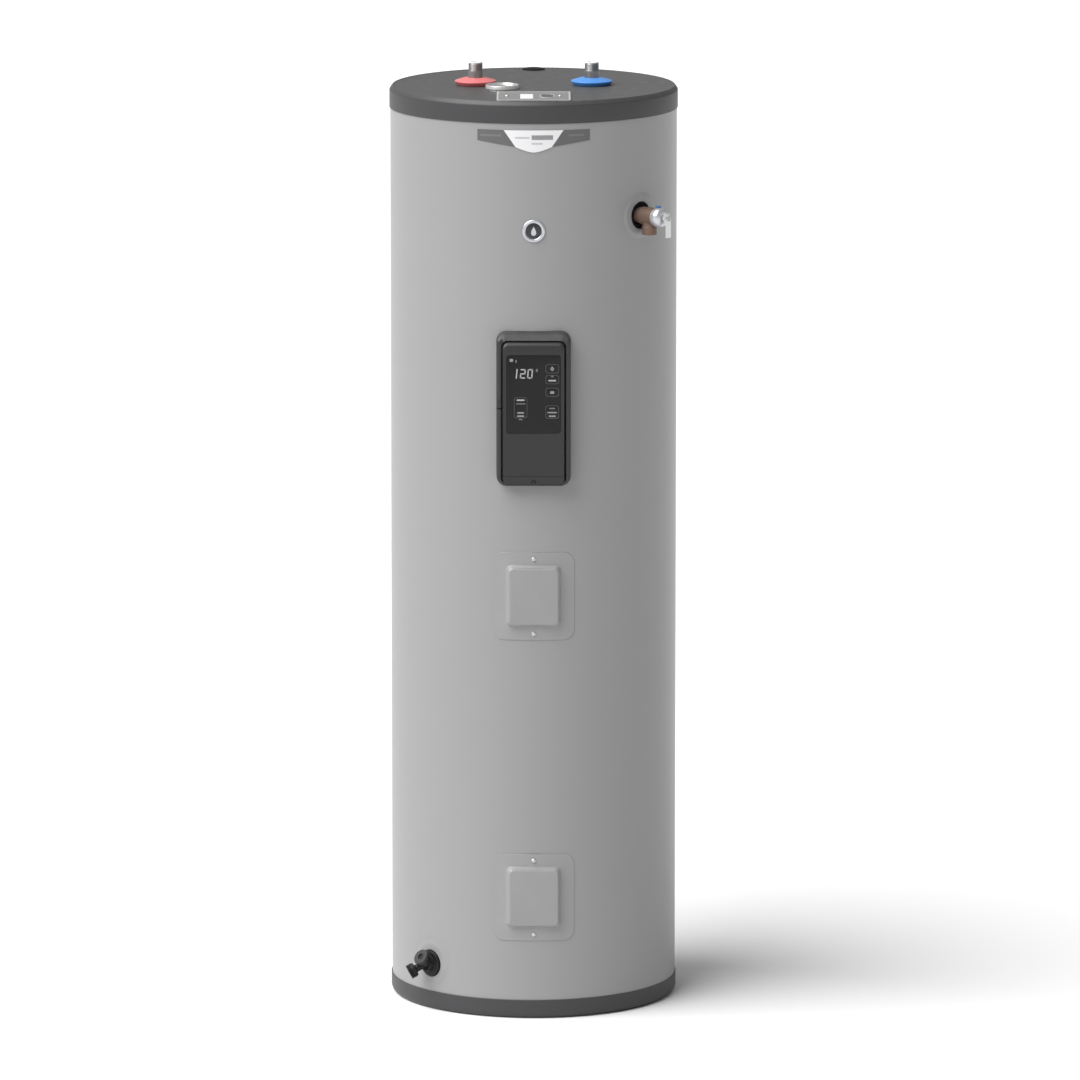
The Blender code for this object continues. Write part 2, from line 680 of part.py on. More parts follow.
def head_profile(rim, rise):
    """Profile of a domed head with a skirt that fits inside the shell."""
    outer = []
    inner = []
    for step in range(DOME_STEPS + 1):
        radius = HEAD_RADIUS * step / DOME_STEPS
        outer.append((radius, rim + dome_height(radius, HEAD_RADIUS, rise)))
        inside = (HEAD_RADIUS - HEAD_WALL) * (1 - step / DOME_STEPS)
        inner.append((inside, rim + dome_height(inside, HEAD_RADIUS, rise) - HEAD_WALL))
    foot = rim - HEAD_SKIRT
    return outer + [(HEAD_RADIUS, foot), (HEAD_RADIUS - HEAD_WALL, foot)] + inner


def make_tank():
    """The enamelled steel tank: a rolled shell and two domed heads, with their welded spuds."""
    shell = tube("tank_shell", TANK_RADIUS, TANK_INNER, SHELL_TOP, BASE_PAN_FLOOR + GAP,
                 "tank_steel", BIG_STEPS)
    start, end = TANK_INNER - 0.002, TANK_RADIUS + SPUD_PROUD
    bores = []
    for name, empty in (("tp", tp_axis), ("drain", drain_axis)):
        join(shell, radial_hole(f"{name}_spud", SPUD_RADIUS, empty, start, end))
        bores.append(radial_hole(f"{name}_bore", PIPE_RADIUS + GAP, empty, start - 0.01, end + 0.01))
    for side, z in access_places:
        low = z - ELEMENT_DROP
        join(shell, screw_hole(f"{side}_spud", ELEMENT_SPUD, -end, -start, 0.0, low))
        bores.append(screw_hole(f"{side}_spud_bore", ELEMENT_SHANK + GAP,
                                -(end + 0.01), -(start - 0.01), 0.0, low))
    cut(shell, *bores)
    top_profile = head_profile(SHELL_TOP, HEAD_RISE)
    top_head = turned("tank_top_head", top_profile, "tank_steel", BIG_STEPS)
    for side, x, y in spud_places:
        middle = spud_height(x, y)
        low, high = middle - SPUD_HALF, middle + SPUD_HALF
        join(top_head, at(rod(f"{side}_top_spud", SPUD_RADIUS, low, high), x, y))
        bore = rod(f"{side}_top_bore", PIPE_RADIUS + GAP, low - 0.01, high + 0.01)
        cut(top_head, at(bore, x, y))
    bottom_profile = head_profile(BOTTOM_HEAD_RIM, BOTTOM_HEAD_RISE)
    turned("tank_bottom_head", bottom_profile, "tank_steel", BIG_STEPS)


def make_nipples():
    """The two threaded steel nipples with plastic liners and coloured dielectric collars."""
    nipple_bottom = spud_height(NIPPLE_SPACING / 2, 0.0) - 0.004
    for side, x in nipple_places:
        outer = [
            (PIPE_RADIUS - 0.0010, NIPPLE_TOP),
            (PIPE_RADIUS, NIPPLE_TOP - 0.0020),
            (PIPE_RADIUS, nipple_bottom),
        ]
        inner = [(PIPE_BORE, nipple_bottom), (PIPE_BORE, NIPPLE_TOP)]
        at(turned(f"{side}_nipple", outer + inner, "steel", ring=True), x)
        liner = tube(f"{side}_nipple_liner", PIPE_BORE - GAP, PIPE_BORE - GAP - LINER_WALL,
                     NIPPLE_TOP, nipple_bottom, "white_plastic")
        at(liner, x)
        bore = PIPE_RADIUS + GAP
        collar = [
            (bore, COLLAR_HEIGHT),
            (COLLAR_RADIUS * 0.55, COLLAR_HEIGHT),
            (COLLAR_RADIUS - 0.002, COLLAR_BAND + 0.0015),
            (COLLAR_RADIUS, COLLAR_BAND),
            (COLLAR_RADIUS, 0.0),
            (bore, 0.0),
        ]
        slot = "red_plastic" if side == "hot" else "blue_plastic"
        ring = turned(f"{side}_collar", collar, slot, ROUND_STEPS, ring=True)
        at(ring, x, 0.0, TOP_FACE + GAP)
    lip = nipple_bottom - GAP
    dip_bottom = BOTTOM_HEAD_RIM + BOTTOM_HEAD_RISE + DIP_TUBE_CLEAR
    bore = DIP_TUBE_RADIUS - DIP_TUBE_WALL
    profile = [
        (PIPE_RADIUS, lip),
        (PIPE_RADIUS, lip - 0.003),
        (DIP_TUBE_RADIUS, lip - 0.003),
        (DIP_TUBE_RADIUS, dip_bottom),
        (bore, dip_bottom),
        (bore, lip),
    ]
    at(turned("dip_tube", profile, "white_plastic", 16, ring=True), NIPPLE_SPACING / 2)


def make_anode():
    """The magnesium anode on its threaded hex plug, and the cap over its access hole."""
    middle = spud_height(ANODE_X, ANODE_Y)
    seat = middle + SPUD_HALF + GAP
    profile = [
        (0.0, seat),
        (PIPE_RADIUS, seat),
        (PIPE_RADIUS, middle - SPUD_HALF),
        (ANODE_RADIUS, middle - SPUD_HALF),
        (ANODE_RADIUS, middle - SPUD_HALF - ANODE_LENGTH),
        (0.0, middle - SPUD_HALF - ANODE_LENGTH),
    ]
    anode = at(turned("anode_rod", profile, "magnesium", 16), ANODE_X, ANODE_Y)
    head = rod("anode_hex", ANODE_HEX, seat, seat + ANODE_HEX_HEIGHT, steps=6)
    join(anode, at(head, ANODE_X, ANODE_Y))
    base, wall = TOP_FACE + GAP, ANODE_CAP_WALL
    plug = ANODE_PLUG - GAP
    cap = [
        (0.0, base + 0.0015),
        (ANODE_CAP_RADIUS - wall - 0.0015, base + 0.0015),
        (ANODE_CAP_RADIUS - wall, base + ANODE_CAP_HEIGHT),
        (ANODE_CAP_RADIUS - 0.0010, base + ANODE_CAP_HEIGHT),
        (ANODE_CAP_RADIUS, base),
        (plug, base),
        (plug, base - PLUG_LENGTH),
        (0.0, base - PLUG_LENGTH),
    ]
    at(turned("anode_cap", cap, "chrome", ROUND_STEPS), ANODE_X, ANODE_Y)


def make_rear_plug():
    """The push-in plug near the rear rim."""
    base = TOP_FACE + GAP
    r = REAR_PLUG_RADIUS
    shank = REAR_PLUG_SHANK - GAP
    profile = [
        (0.0, base + REAR_PLUG_HEIGHT),
        (r - 0.004, base + REAR_PLUG_HEIGHT),
        (r - 0.001, base + REAR_PLUG_HEIGHT - 0.0012),
        (r, base),
        (shank, base),
        (shank, base - PLUG_LENGTH),
        (0.0, base - PLUG_LENGTH),
    ]
    at(turned("rear_plug", profile, "black_plastic", ROUND_STEPS), 0.0,
       PAN_RADIUS - REAR_PLUG_INSET)


def make_junction_box():
    """The steel wiring box sunk in the top, its cover plate and the two cover screws."""
    width, depth = COVER_WIDTH - 2 * BOX_MARGIN, COVER_DEPTH - 2 * BOX_MARGIN
    bottom = TOP_FACE - BOX_HEIGHT
    box = block("junction_box", (width, depth, BOX_HEIGHT), "steel")
    at(box, 0.0, COVER_CENTRE, TOP_FACE - BOX_HEIGHT / 2)
    hollow = block("box_hollow", (width - 2 * BOX_WALL, depth - 2 * BOX_WALL, BOX_HEIGHT))
    cut(box, at(hollow, 0.0, COVER_CENTRE, TOP_FACE - BOX_HEIGHT / 2 + BOX_WALL))
    hole = rod("box_lead_hole", LEAD_RADIUS + GAP, bottom - 0.01, bottom + 0.01)
    cut(box, at(hole, 0.0, COVER_CENTRE))
    cover = block("junction_cover", (COVER_WIDTH, COVER_DEPTH, COVER_THICKNESS), "steel")
    at(cover, 0.0, COVER_CENTRE, TOP_FACE + GAP + COVER_THICKNESS / 2)
    seat = TOP_FACE + GAP + COVER_THICKNESS
    for side, sign in (("left", -1), ("right", 1)):
        x = sign * (width / 2 - BOX_TAB / 2)
        tab = block(f"{side}_box_tab", (BOX_TAB, BOX_TAB, BOX_TAB))
        join(box, at(tab, x, COVER_CENTRE, TOP_FACE - BOX_TAB / 2))
        cylinder_screw(f"junction_screw_{side}", "steel", x, COVER_CENTRE, seat, (0, 0, 0))
        thread = rod(f"{side}_box_thread", SCREW_SHANK + GAP, seat - SCREW_LENGTH - 0.001,
                     seat + 0.01)
        at(thread, x, COVER_CENTRE)
        cut(box, thread)
        cut(cover, thread)


def make_access_cover(side, z):
    """A pressed access cover that follows the jacket, with its raised centre and two screws."""
    inner = JACKET_RADIUS + GAP
    sheet = tube(f"{side}_cover_sheet", inner + ACCESS_SHEET, inner, z + ACCESS_HEIGHT,
                 z - ACCESS_HEIGHT, steps=BIG_STEPS)
    outline = rounded(ACCESS_WIDTH, ACCESS_HEIGHT, ACCESS_CORNER)
    cover = prism(f"{side}_access_cover", outline, 0.08, "jacket_paint")
    at(cover, 0.0, -JACKET_RADIUS, z)
    combine(cover, sheet, "INTERSECT")
    root = 0.020
    front = JACKET_RADIUS + BULGE_RISE
    bulge_outline = rounded(BULGE_WIDTH, BULGE_HEIGHT, BULGE_CORNER)
    bulge = prism(f"{side}_bulge", bulge_outline, root + BULGE_RISE, draft=BULGE_DRAFT)
    at(bulge, 0.0, -(front - (root + BULGE_RISE) / 2), z)
    wall = 2 * ACCESS_SHEET
    hollow_outline = rounded(BULGE_WIDTH - wall, BULGE_HEIGHT - wall, BULGE_CORNER - ACCESS_SHEET)
    hollow = prism(f"{side}_bulge_hollow", hollow_outline, root + BULGE_RISE, draft=BULGE_DRAFT)
    at(hollow, 0.0, -(front - ACCESS_SHEET - (root + BULGE_RISE) / 2), z)
    inside = rod(f"{side}_cover_core", inner, z - ACCESS_HEIGHT, z + ACCESS_HEIGHT, steps=BIG_STEPS)
    join(cover, bulge)
    cut(cover, hollow, inside)
    for end, sign in (("top", 1), ("bottom", -1)):
        height = z + sign * ACCESS_SCREW_OFFSET
        hole = screw_hole(f"{side}_{end}_cover_hole", SCREW_SHANK + GAP, -(inner + 0.02),
                          -(inner - 0.02), 0.0, height)
        cut(cover, hole)
        seat = -(inner + ACCESS_SHEET)
        cylinder_screw(f"{side}_cover_screw_{end}", "steel", 0.0, seat, height, FORWARD)


def make_foam_pad(side, z):
    """The loose insulation pad behind an access cover."""
    back = JACKET_RADIUS - PAD_DEPTH
    front = JACKET_RADIUS + BULGE_RISE - ACCESS_SHEET - GAP
    pad = prism(f"{side}_foam_pad", rounded(PAD_WIDTH, PAD_HEIGHT, 0.006, 2), front - back, "foam")
    at(pad, 0.0, -(front + back) / 2, z)


def make_element(side, z):
    """A screw-in heating element: hex head, threaded shank, terminal block and folded sheath."""
    low = z - ELEMENT_DROP
    seat = TANK_RADIUS + SPUD_PROUD + GAP
    hex_out = seat + ELEMENT_HEX_THICKNESS
    shank_in = TANK_INNER - 0.004
    element = rod(f"{side}_heating_element", ELEMENT_HEX, seat, hex_out, "steel", 6)
    at(element, 0.0, 0.0, low, FORWARD)
    shank = rod(f"{side}_shank", ELEMENT_SHANK, shank_in, seat + 0.001)
    terminal = block(f"{side}_terminals", (0.026, TERMINAL_DEPTH + 0.002, 0.020))
    at(terminal, 0.0, -(hex_out + TERMINAL_DEPTH / 2 - 0.001), low)
    half = ELEMENT_PITCH / 2
    tip = ELEMENT_LENGTH - shank_in - half
    path = [(-half, -(shank_in + 0.003), 0.0), (-half, tip, 0.0)]
    for step in range(1, 6):
        angle = math.pi * (1 - step / 6)
        path.append((half * math.cos(angle), tip + half * math.sin(angle), 0.0))
    path += [(half, tip, 0.0), (half, -(shank_in + 0.003), 0.0)]
    sheath = wire(f"{side}_sheath", path, ELEMENT_TUBE)
    join(element, at(shank, 0.0, 0.0, low, FORWARD), terminal, at(sheath, 0.0, 0.0, low))


def make_thermostat(side, z):
    """The surface thermostat clamped against the tank above an element."""
    width, depth, height = THERMOSTAT_SIZE
    body = block(f"{side}_thermostat", THERMOSTAT_SIZE, "black_plastic", 0.0015)
    y = -(TANK_RADIUS + THERMOSTAT_STANDOFF + depth / 2)
    at(body, 0.0, y, z + THERMOSTAT_RISE)
    dial = rod(f"{side}_dial", 0.008, depth / 2 - 0.002, depth / 2 + 0.002, steps=16)
    join(body, at(dial, 0.008, y, z + THERMOSTAT_RISE, FORWARD))


def make_leads():
    """The sleeved lead from the box to the control, and those from it down to the elements."""
    upper_hole, lower_hole = PANEL_TOP - 0.055, PANEL_BOTTOM + 0.050
    board_back = BOARD_FRONT + BOARD_THICKNESS + 0.0015
    bottom = TOP_FACE - BOX_HEIGHT
    supply = [
        (0.0, COVER_CENTRE, bottom + 0.012),
        (0.0, COVER_CENTRE, bottom - 0.022),
        (0.0, LEAD_Y, bottom - 0.048),
        (0.0, LEAD_Y, upper_hole),
        (0.0, board_back, upper_hole),
    ]
    wire("supply_lead", smooth_route(supply, 0.020), LEAD_RADIUS, "wire_sleeve")
    thermostat_y = -(TANK_RADIUS + THERMOSTAT_STANDOFF + THERMOSTAT_SIZE[1] / 2)
    thermostat_top = UPPER_COVER_Z + THERMOSTAT_RISE + THERMOSTAT_SIZE[2] / 2 + GAP
    cavity = BULGE_HEIGHT / 2 - OPENING_MARGIN
    upper = [
        (0.0, board_back, lower_hole),
        (0.0, LEAD_Y, lower_hole),
        (0.0, LEAD_Y, UPPER_COVER_Z + cavity + 0.016),
        (0.0, thermostat_y, thermostat_top + 0.004),
        (0.0, thermostat_y, thermostat_top),
    ]
    wire("upper_element_lead", smooth_route(upper, 0.014), LEAD_RADIUS, "wire_sleeve")
    terminal_bottom = UPPER_COVER_Z - ELEMENT_DROP - 0.010 - GAP
    lower_top = LOWER_COVER_HEIGHT + THERMOSTAT_RISE + THERMOSTAT_SIZE[2] / 2 + GAP
    lower = [
        (0.0, TERMINAL_Y, terminal_bottom),
        (0.0, TERMINAL_Y, terminal_bottom - 0.014),
        (0.0, LEAD_Y + 0.004, UPPER_COVER_Z - cavity - 0.012),
        (0.0, LEAD_Y, UPPER_COVER_Z - cavity - 0.060),
        (0.0, LEAD_Y, LOWER_COVER_HEIGHT + cavity + 0.016),
        (0.0, thermostat_y, lower_top + 0.004),
        (0.0, thermostat_y, lower_top),
    ]
    wire("lower_element_lead", smooth_route(lower, 0.014), LEAD_RADIUS, "wire_sleeve")


def make_control_panel():
    """The control on the jacket: housing, fascia, display window, board and its screw."""
    centre = (PANEL_TOP + PANEL_BOTTOM) / 2
    depth = -PANEL_FRONT - (JACKET_RADIUS - PANEL_BACK)
    y = PANEL_FRONT + depth / 2
    housing = prism("control_housing", rounded(PANEL_WIDTH, PANEL_HEIGHT, PANEL_CORNER), depth,
                    "control_plastic", 0.0020)
    at(housing, 0.0, y, centre)
    inner_outline = rounded(PANEL_WIDTH - 2 * PANEL_WALL, PANEL_HEIGHT - 2 * PANEL_WALL,
                            PANEL_CORNER - PANEL_WALL)
    hollow = at(prism("housing_hollow", inner_outline, depth, draft=0.0020), 0.0,
                y + PANEL_WALL, centre)
    groove = FASCIA_GROOVE
    opening_top = FASCIA_TOP + groove
    opening_bottom = PANEL_BOTTOM + PANEL_WALL
    opening = prism("housing_opening", rounded(FASCIA_WIDTH + 2 * groove,
                                               opening_top - opening_bottom,
                                               FASCIA_CORNER + groove), 2 * depth)
    at(opening, 0.0, y, (opening_top + opening_bottom) / 2)
    core = rod("housing_core", JACKET_RADIUS + GAP, PANEL_BOTTOM - 0.01, PANEL_TOP + 0.01,
               steps=BIG_STEPS)
    screw_z = PANEL_BOTTOM + PANEL_SCREW_RISE
    boss_front = FASCIA_FRONT + FASCIA_PLATE + GAP
    boss = block("screw_boss", (0.012, -JACKET_RADIUS - 0.002 - boss_front, 0.014))
    at(boss, 0.0, (boss_front - JACKET_RADIUS - 0.002) / 2, PANEL_BOTTOM + 0.0085)
    thread = screw_hole("boss_thread", SCREW_SHANK + GAP, FASCIA_FRONT - 0.01,
                        -JACKET_RADIUS, 0.0, screw_z)
    cut(housing, hollow, opening)
    join(housing, boss)
    cut(housing, core, thread)

    fascia = prism("control_fascia", rounded(FASCIA_WIDTH, FASCIA_HEIGHT, FASCIA_CORNER),
                   FASCIA_DEPTH, "control_plastic", 0.0012)
    fascia_y = FASCIA_FRONT + FASCIA_DEPTH / 2
    at(fascia, 0.0, fascia_y, FASCIA_CENTRE)
    rim = 0.0020
    inside = block("fascia_hollow", (FASCIA_WIDTH - 2 * rim - 0.0024, FASCIA_DEPTH,
                                     FASCIA_HEIGHT - 0.006))
    at(inside, 0.0, fascia_y + FASCIA_PLATE, FASCIA_CENTRE - 0.006)
    window_cut = prism("window_recess", rounded(WINDOW_WIDTH + 2 * GAP, WINDOW_HEIGHT + 2 * GAP,
                                                WINDOW_CORNER + GAP, 3), 0.02)
    recess = WINDOW_THICKNESS + 2 * GAP
    at(window_cut, 0.0, FASCIA_FRONT + recess - 0.01, WINDOW_CENTRE)
    ledge = 2 * WINDOW_LEDGE
    through = block("window_through", (WINDOW_WIDTH - ledge, 0.02, WINDOW_HEIGHT - ledge))
    at(through, 0.0, FASCIA_FRONT, WINDOW_CENTRE)
    recess_hole = screw_hole("screw_recess", SCREW_HEAD + GAP, FASCIA_FRONT - 0.01,
                             FASCIA_FRONT + SCREW_HEAD_HEIGHT, 0.0, screw_z)
    cut(fascia, inside, window_cut, through, recess_hole, thread)
    cylinder_screw("control_screw", "steel", 0.0, FASCIA_FRONT + SCREW_HEAD_HEIGHT,
                   screw_z, FORWARD)
    board_width = WINDOW_WIDTH - ledge - BOARD_MARGIN + 0.010
    board_height = WINDOW_HEIGHT - ledge - BOARD_MARGIN + 0.014
    for sign_x in (-1, 1):
        for sign_z in (-1, 1):
            name = f"post_{sign_x + 1}{sign_z + 1}"
            start = FASCIA_PLATE - 0.001
            post = rod(name, 0.0022, start, BOARD_SETBACK - GAP, steps=8)
            at(post, sign_x * (WINDOW_WIDTH / 2 + 0.0008), FASCIA_FRONT,
               WINDOW_CENTRE + sign_z * (WINDOW_HEIGHT / 2 + 0.004), (-math.pi / 2, 0, 0))
            join(fascia, post)
    board = block("control_board", (board_width, BOARD_THICKNESS, board_height), "board_green")
    at(board, 0.0, BOARD_FRONT + BOARD_THICKNESS / 2, WINDOW_CENTRE)

    window = prism("display_window", rounded(WINDOW_WIDTH, WINDOW_HEIGHT, WINDOW_CORNER, 3),
                   WINDOW_THICKNESS, "display_gloss")
    window_y = FASCIA_FRONT + GAP + WINDOW_THICKNESS / 2
    at(window, 0.0, window_y, WINDOW_CENTRE)
    for name, x, drop, width, height in KEYS:
        make_key(window, name, x, WINDOW_TOP - drop, width, height)


def make_key(window, name, x, z, width, height):
    """A key that sits flush in the window and presses the switch behind it with its stem."""
    hole_outline = rounded(width + 2 * GAP, height + 2 * GAP, KEY_CORNER + GAP, 2)
    hole = prism(f"{name}_hole", hole_outline, 0.02)
    cut(window, at(hole, x, FASCIA_FRONT, z))
    key = prism(name, rounded(width, height, KEY_CORNER, 2), KEY_THICKNESS, "display_gloss")
    front = FASCIA_FRONT + GAP - KEY_PROUD
    y = front + KEY_THICKNESS / 2
    at(key, x, y, z)
    stem_end = BOARD_FRONT - KEY_TRAVEL - GAP
    stem = rod(f"{name}_stem", KEY_STEM, 0.0, stem_end - y, steps=10)
    join(key, at(stem, x, y, z, (-math.pi / 2, 0, 0)))


def curved_label(name, outline, radius, z, slot):
    """A thin label that lies round the jacket."""
    sheet = tube(f"{name}_sheet", radius + LABEL_SHEET, radius, z + 0.08, z - 0.08, steps=BIG_STEPS)
    label = at(prism(name, outline, 0.09, slot), 0.0, -JACKET_RADIUS, z)
    combine(label, sheet, "INTERSECT")


def make_labels():
    """The front label: grey wings with a white shield over their middle."""
    top = 0.0
    z = BODY_TOP - LABEL_DROP
    wings = [(LABEL_HALF_WIDTH, top), (LABEL_HALF_WIDTH, top - LABEL_SIDE)]
    wings += [(SHIELD_FOOT, top - LABEL_INNER), (-SHIELD_FOOT, top - LABEL_INNER)]
    wings += [(-LABEL_HALF_WIDTH, top - LABEL_SIDE), (-LABEL_HALF_WIDTH, top)]
    curved_label("front_label", wings[::-1], JACKET_RADIUS + GAP, z, "label_grey")
    shield = [(SHIELD_HALF_WIDTH, top), (SHIELD_FOOT, top - LABEL_INNER), (0.0, top - SHIELD_TIP)]
    shield += [(-SHIELD_FOOT, top - LABEL_INNER), (-SHIELD_HALF_WIDTH, top)]
    over = JACKET_RADIUS + LABEL_SHEET + 2 * GAP
    curved_label("label_shield", shield[::-1], over, z, "label_white")


def make_badge():
    """The round badge: a bright ring round a dark disc."""
    z = BODY_TOP - BADGE_DROP
    back = JACKET_RADIUS + GAP
    mid = (BADGE_RADIUS + BADGE_BORE) / 2
    ring = [
        (mid, back + BADGE_THICKNESS),
        (BADGE_RADIUS, back + BADGE_THICKNESS * 0.4),
        (BADGE_RADIUS, back),
        (BADGE_BORE, back),
        (BADGE_BORE, back + BADGE_THICKNESS * 0.5),
    ]
    at(turned("badge_ring", ring, "chrome", ROUND_STEPS, ring=True), 0.0, 0.0, z, FORWARD)
    disc = rod("badge_disc", BADGE_BORE - GAP, back, back + BADGE_THICKNESS * 0.5,
               "black_plastic", ROUND_STEPS)
    at(disc, 0.0, 0.0, z, FORWARD)


def make_relief_valve():
    """The temperature and pressure relief valve, with its spring, stem and test lever."""
    wall = JACKET_RADIUS
    shank = (TANK_INNER - 0.003, wall - TP_SHANK_STEP + 0.001)
    body = rod("tp_valve_body", TP_BARREL, wall - TP_SHANK_STEP, wall + TP_BARREL_END, "brass",
               ROUND_STEPS)
    at(body, turn=OUTWARD, parent=tp_axis)
    outlet = rod("tp_outlet", TP_OUTLET, -TP_OUTLET_DROP, 0.0)
    outlet_bore = rod("tp_outlet_bore", TP_OUTLET_BORE, -TP_OUTLET_DROP - 0.01, 0.002)
    for piece in (outlet, outlet_bore):
        at(piece, wall + TP_OUTLET_OUT, parent=tp_axis)
    probe = (TANK_INNER - TP_PROBE_LENGTH, shank[0] + 0.001)
    join(body, at(rod("tp_shank", PIPE_RADIUS, *shank), turn=OUTWARD, parent=tp_axis),
         at(rod("tp_probe", TP_PROBE, *probe, steps=12), turn=OUTWARD, parent=tp_axis), outlet)
    seat_bore = rod("tp_seat_bore", TP_OUTLET_BORE, wall + TP_SEAT, wall + TP_BARREL_END + 0.01)
    cut(body, outlet_bore, at(seat_bore, turn=OUTWARD, parent=tp_axis))

    base, end = wall + TP_BARREL_END + GAP, wall + TP_BONNET_END
    bore = TP_STEM + 0.0006
    bonnet = [
        (bore, end),
        (TP_BONNET * 0.62, end),
        (TP_BONNET * 0.90, end - 0.0035),
        (TP_BONNET, end - 0.0095),
        (TP_BONNET, base + 0.005),
        (TP_BONNET - 0.0025, base + 0.002),
        (TP_BONNET - 0.0025, base),
        (TP_BONNET_BORE, base),
        (TP_BONNET_BORE, end - TP_BONNET_FACE),
        (bore, end - TP_BONNET_FACE),
    ]
    at(turned("tp_bonnet", bonnet, "chrome", ROUND_STEPS, ring=True), turn=OUTWARD, parent=tp_axis)

    disc_in = wall + TP_SEAT + GAP
    disc_out = disc_in + 0.003
    pin_x = wall + TP_PIN_OUT
    profile = [
        (0.0, pin_x),
        (TP_STEM, pin_x),
        (TP_STEM, disc_out),
        (TP_DISC, disc_out),
        (TP_DISC, disc_in),
        (0.0, disc_in),
    ]
    stem = at(turned("tp_stem", profile, "steel", 16), turn=OUTWARD, parent=tp_axis)
    eye = at(rod("tp_eye", TP_EYE, -0.0020, 0.0020, steps=16), pin_x, 0.0, 0.0, FORWARD, tp_axis)
    pin_hole = rod("tp_pin_hole", TP_PIN + GAP, -0.02, 0.02, steps=12)
    at(pin_hole, pin_x, 0.0, 0.0, FORWARD, tp_axis)
    cut(join(stem, eye), pin_hole)
    pin = rod("tp_lever_pin", TP_PIN, -LEVER_WIDTH / 2, LEVER_WIDTH / 2, "steel", 12)
    at(pin, pin_x, 0.0, 0.0, FORWARD, tp_axis)

    spring_start = disc_out + GAP + TP_SPRING_WIRE
    spring_end = end - TP_BONNET_FACE - GAP - TP_SPRING_WIRE
    coil = []
    count = TP_SPRING_TURNS * 8
    for step in range(count + 1):
        angle = TURN * step / 8
        along = spring_start + (spring_end - spring_start) * step / count
        coil.append((along, TP_SPRING * math.cos(angle), TP_SPRING * math.sin(angle)))
    at(wire("tp_spring", coil, TP_SPRING_WIRE, "steel"), parent=tp_axis)

    make_lever(pin_x, pin_hole)
    length, width, height = TAG_SIZE
    tag = block("tp_tag", TAG_SIZE, "blue_plastic")
    at(tag, end - 0.0095 - length / 2, 0.0, TP_BONNET + GAP + height / 2, parent=tp_axis)


def make_lever(pin_x, pin_hole):
    """The pressed test lever: two ears on the pin, a hanging plate and a cam heel above."""
    half = LEVER_WIDTH / 2 - LEVER_SHEET
    plate_back = LEVER_EAR - LEVER_SHEET
    lever = block("tp_lever", (LEVER_SHEET, LEVER_WIDTH, LEVER_LENGTH - 0.005), "steel")
    at(lever, pin_x, parent=tp_axis)
    lever.data.transform(Matrix.Translation((plate_back + LEVER_SHEET / 2, 0.0,
                                             -(LEVER_LENGTH + 0.005) / 2)))
    for name, sign in (("left", -1), ("right", 1)):
        low = half if sign > 0 else -half - LEVER_SHEET
        ear = rod(f"lever_ear_{name}", LEVER_EAR, low, low + LEVER_SHEET, steps=16)
        at(ear, pin_x, 0.0, 0.0, FORWARD, tp_axis)
        web = block(f"lever_web_{name}", (LEVER_EAR + 0.0010, LEVER_SHEET, 0.0140))
        at(web, pin_x + LEVER_EAR / 2 - 0.0005, -(low + LEVER_SHEET / 2), -0.0072, parent=tp_axis)
        heel = block(f"lever_heel_{name}", (0.0030, LEVER_SHEET, LEVER_HEEL))
        at(heel, pin_x, -(low + LEVER_SHEET / 2), LEVER_HEEL / 2, parent=tp_axis)
        join(lever, ear, web, heel)
    cut(lever, pin_hole)


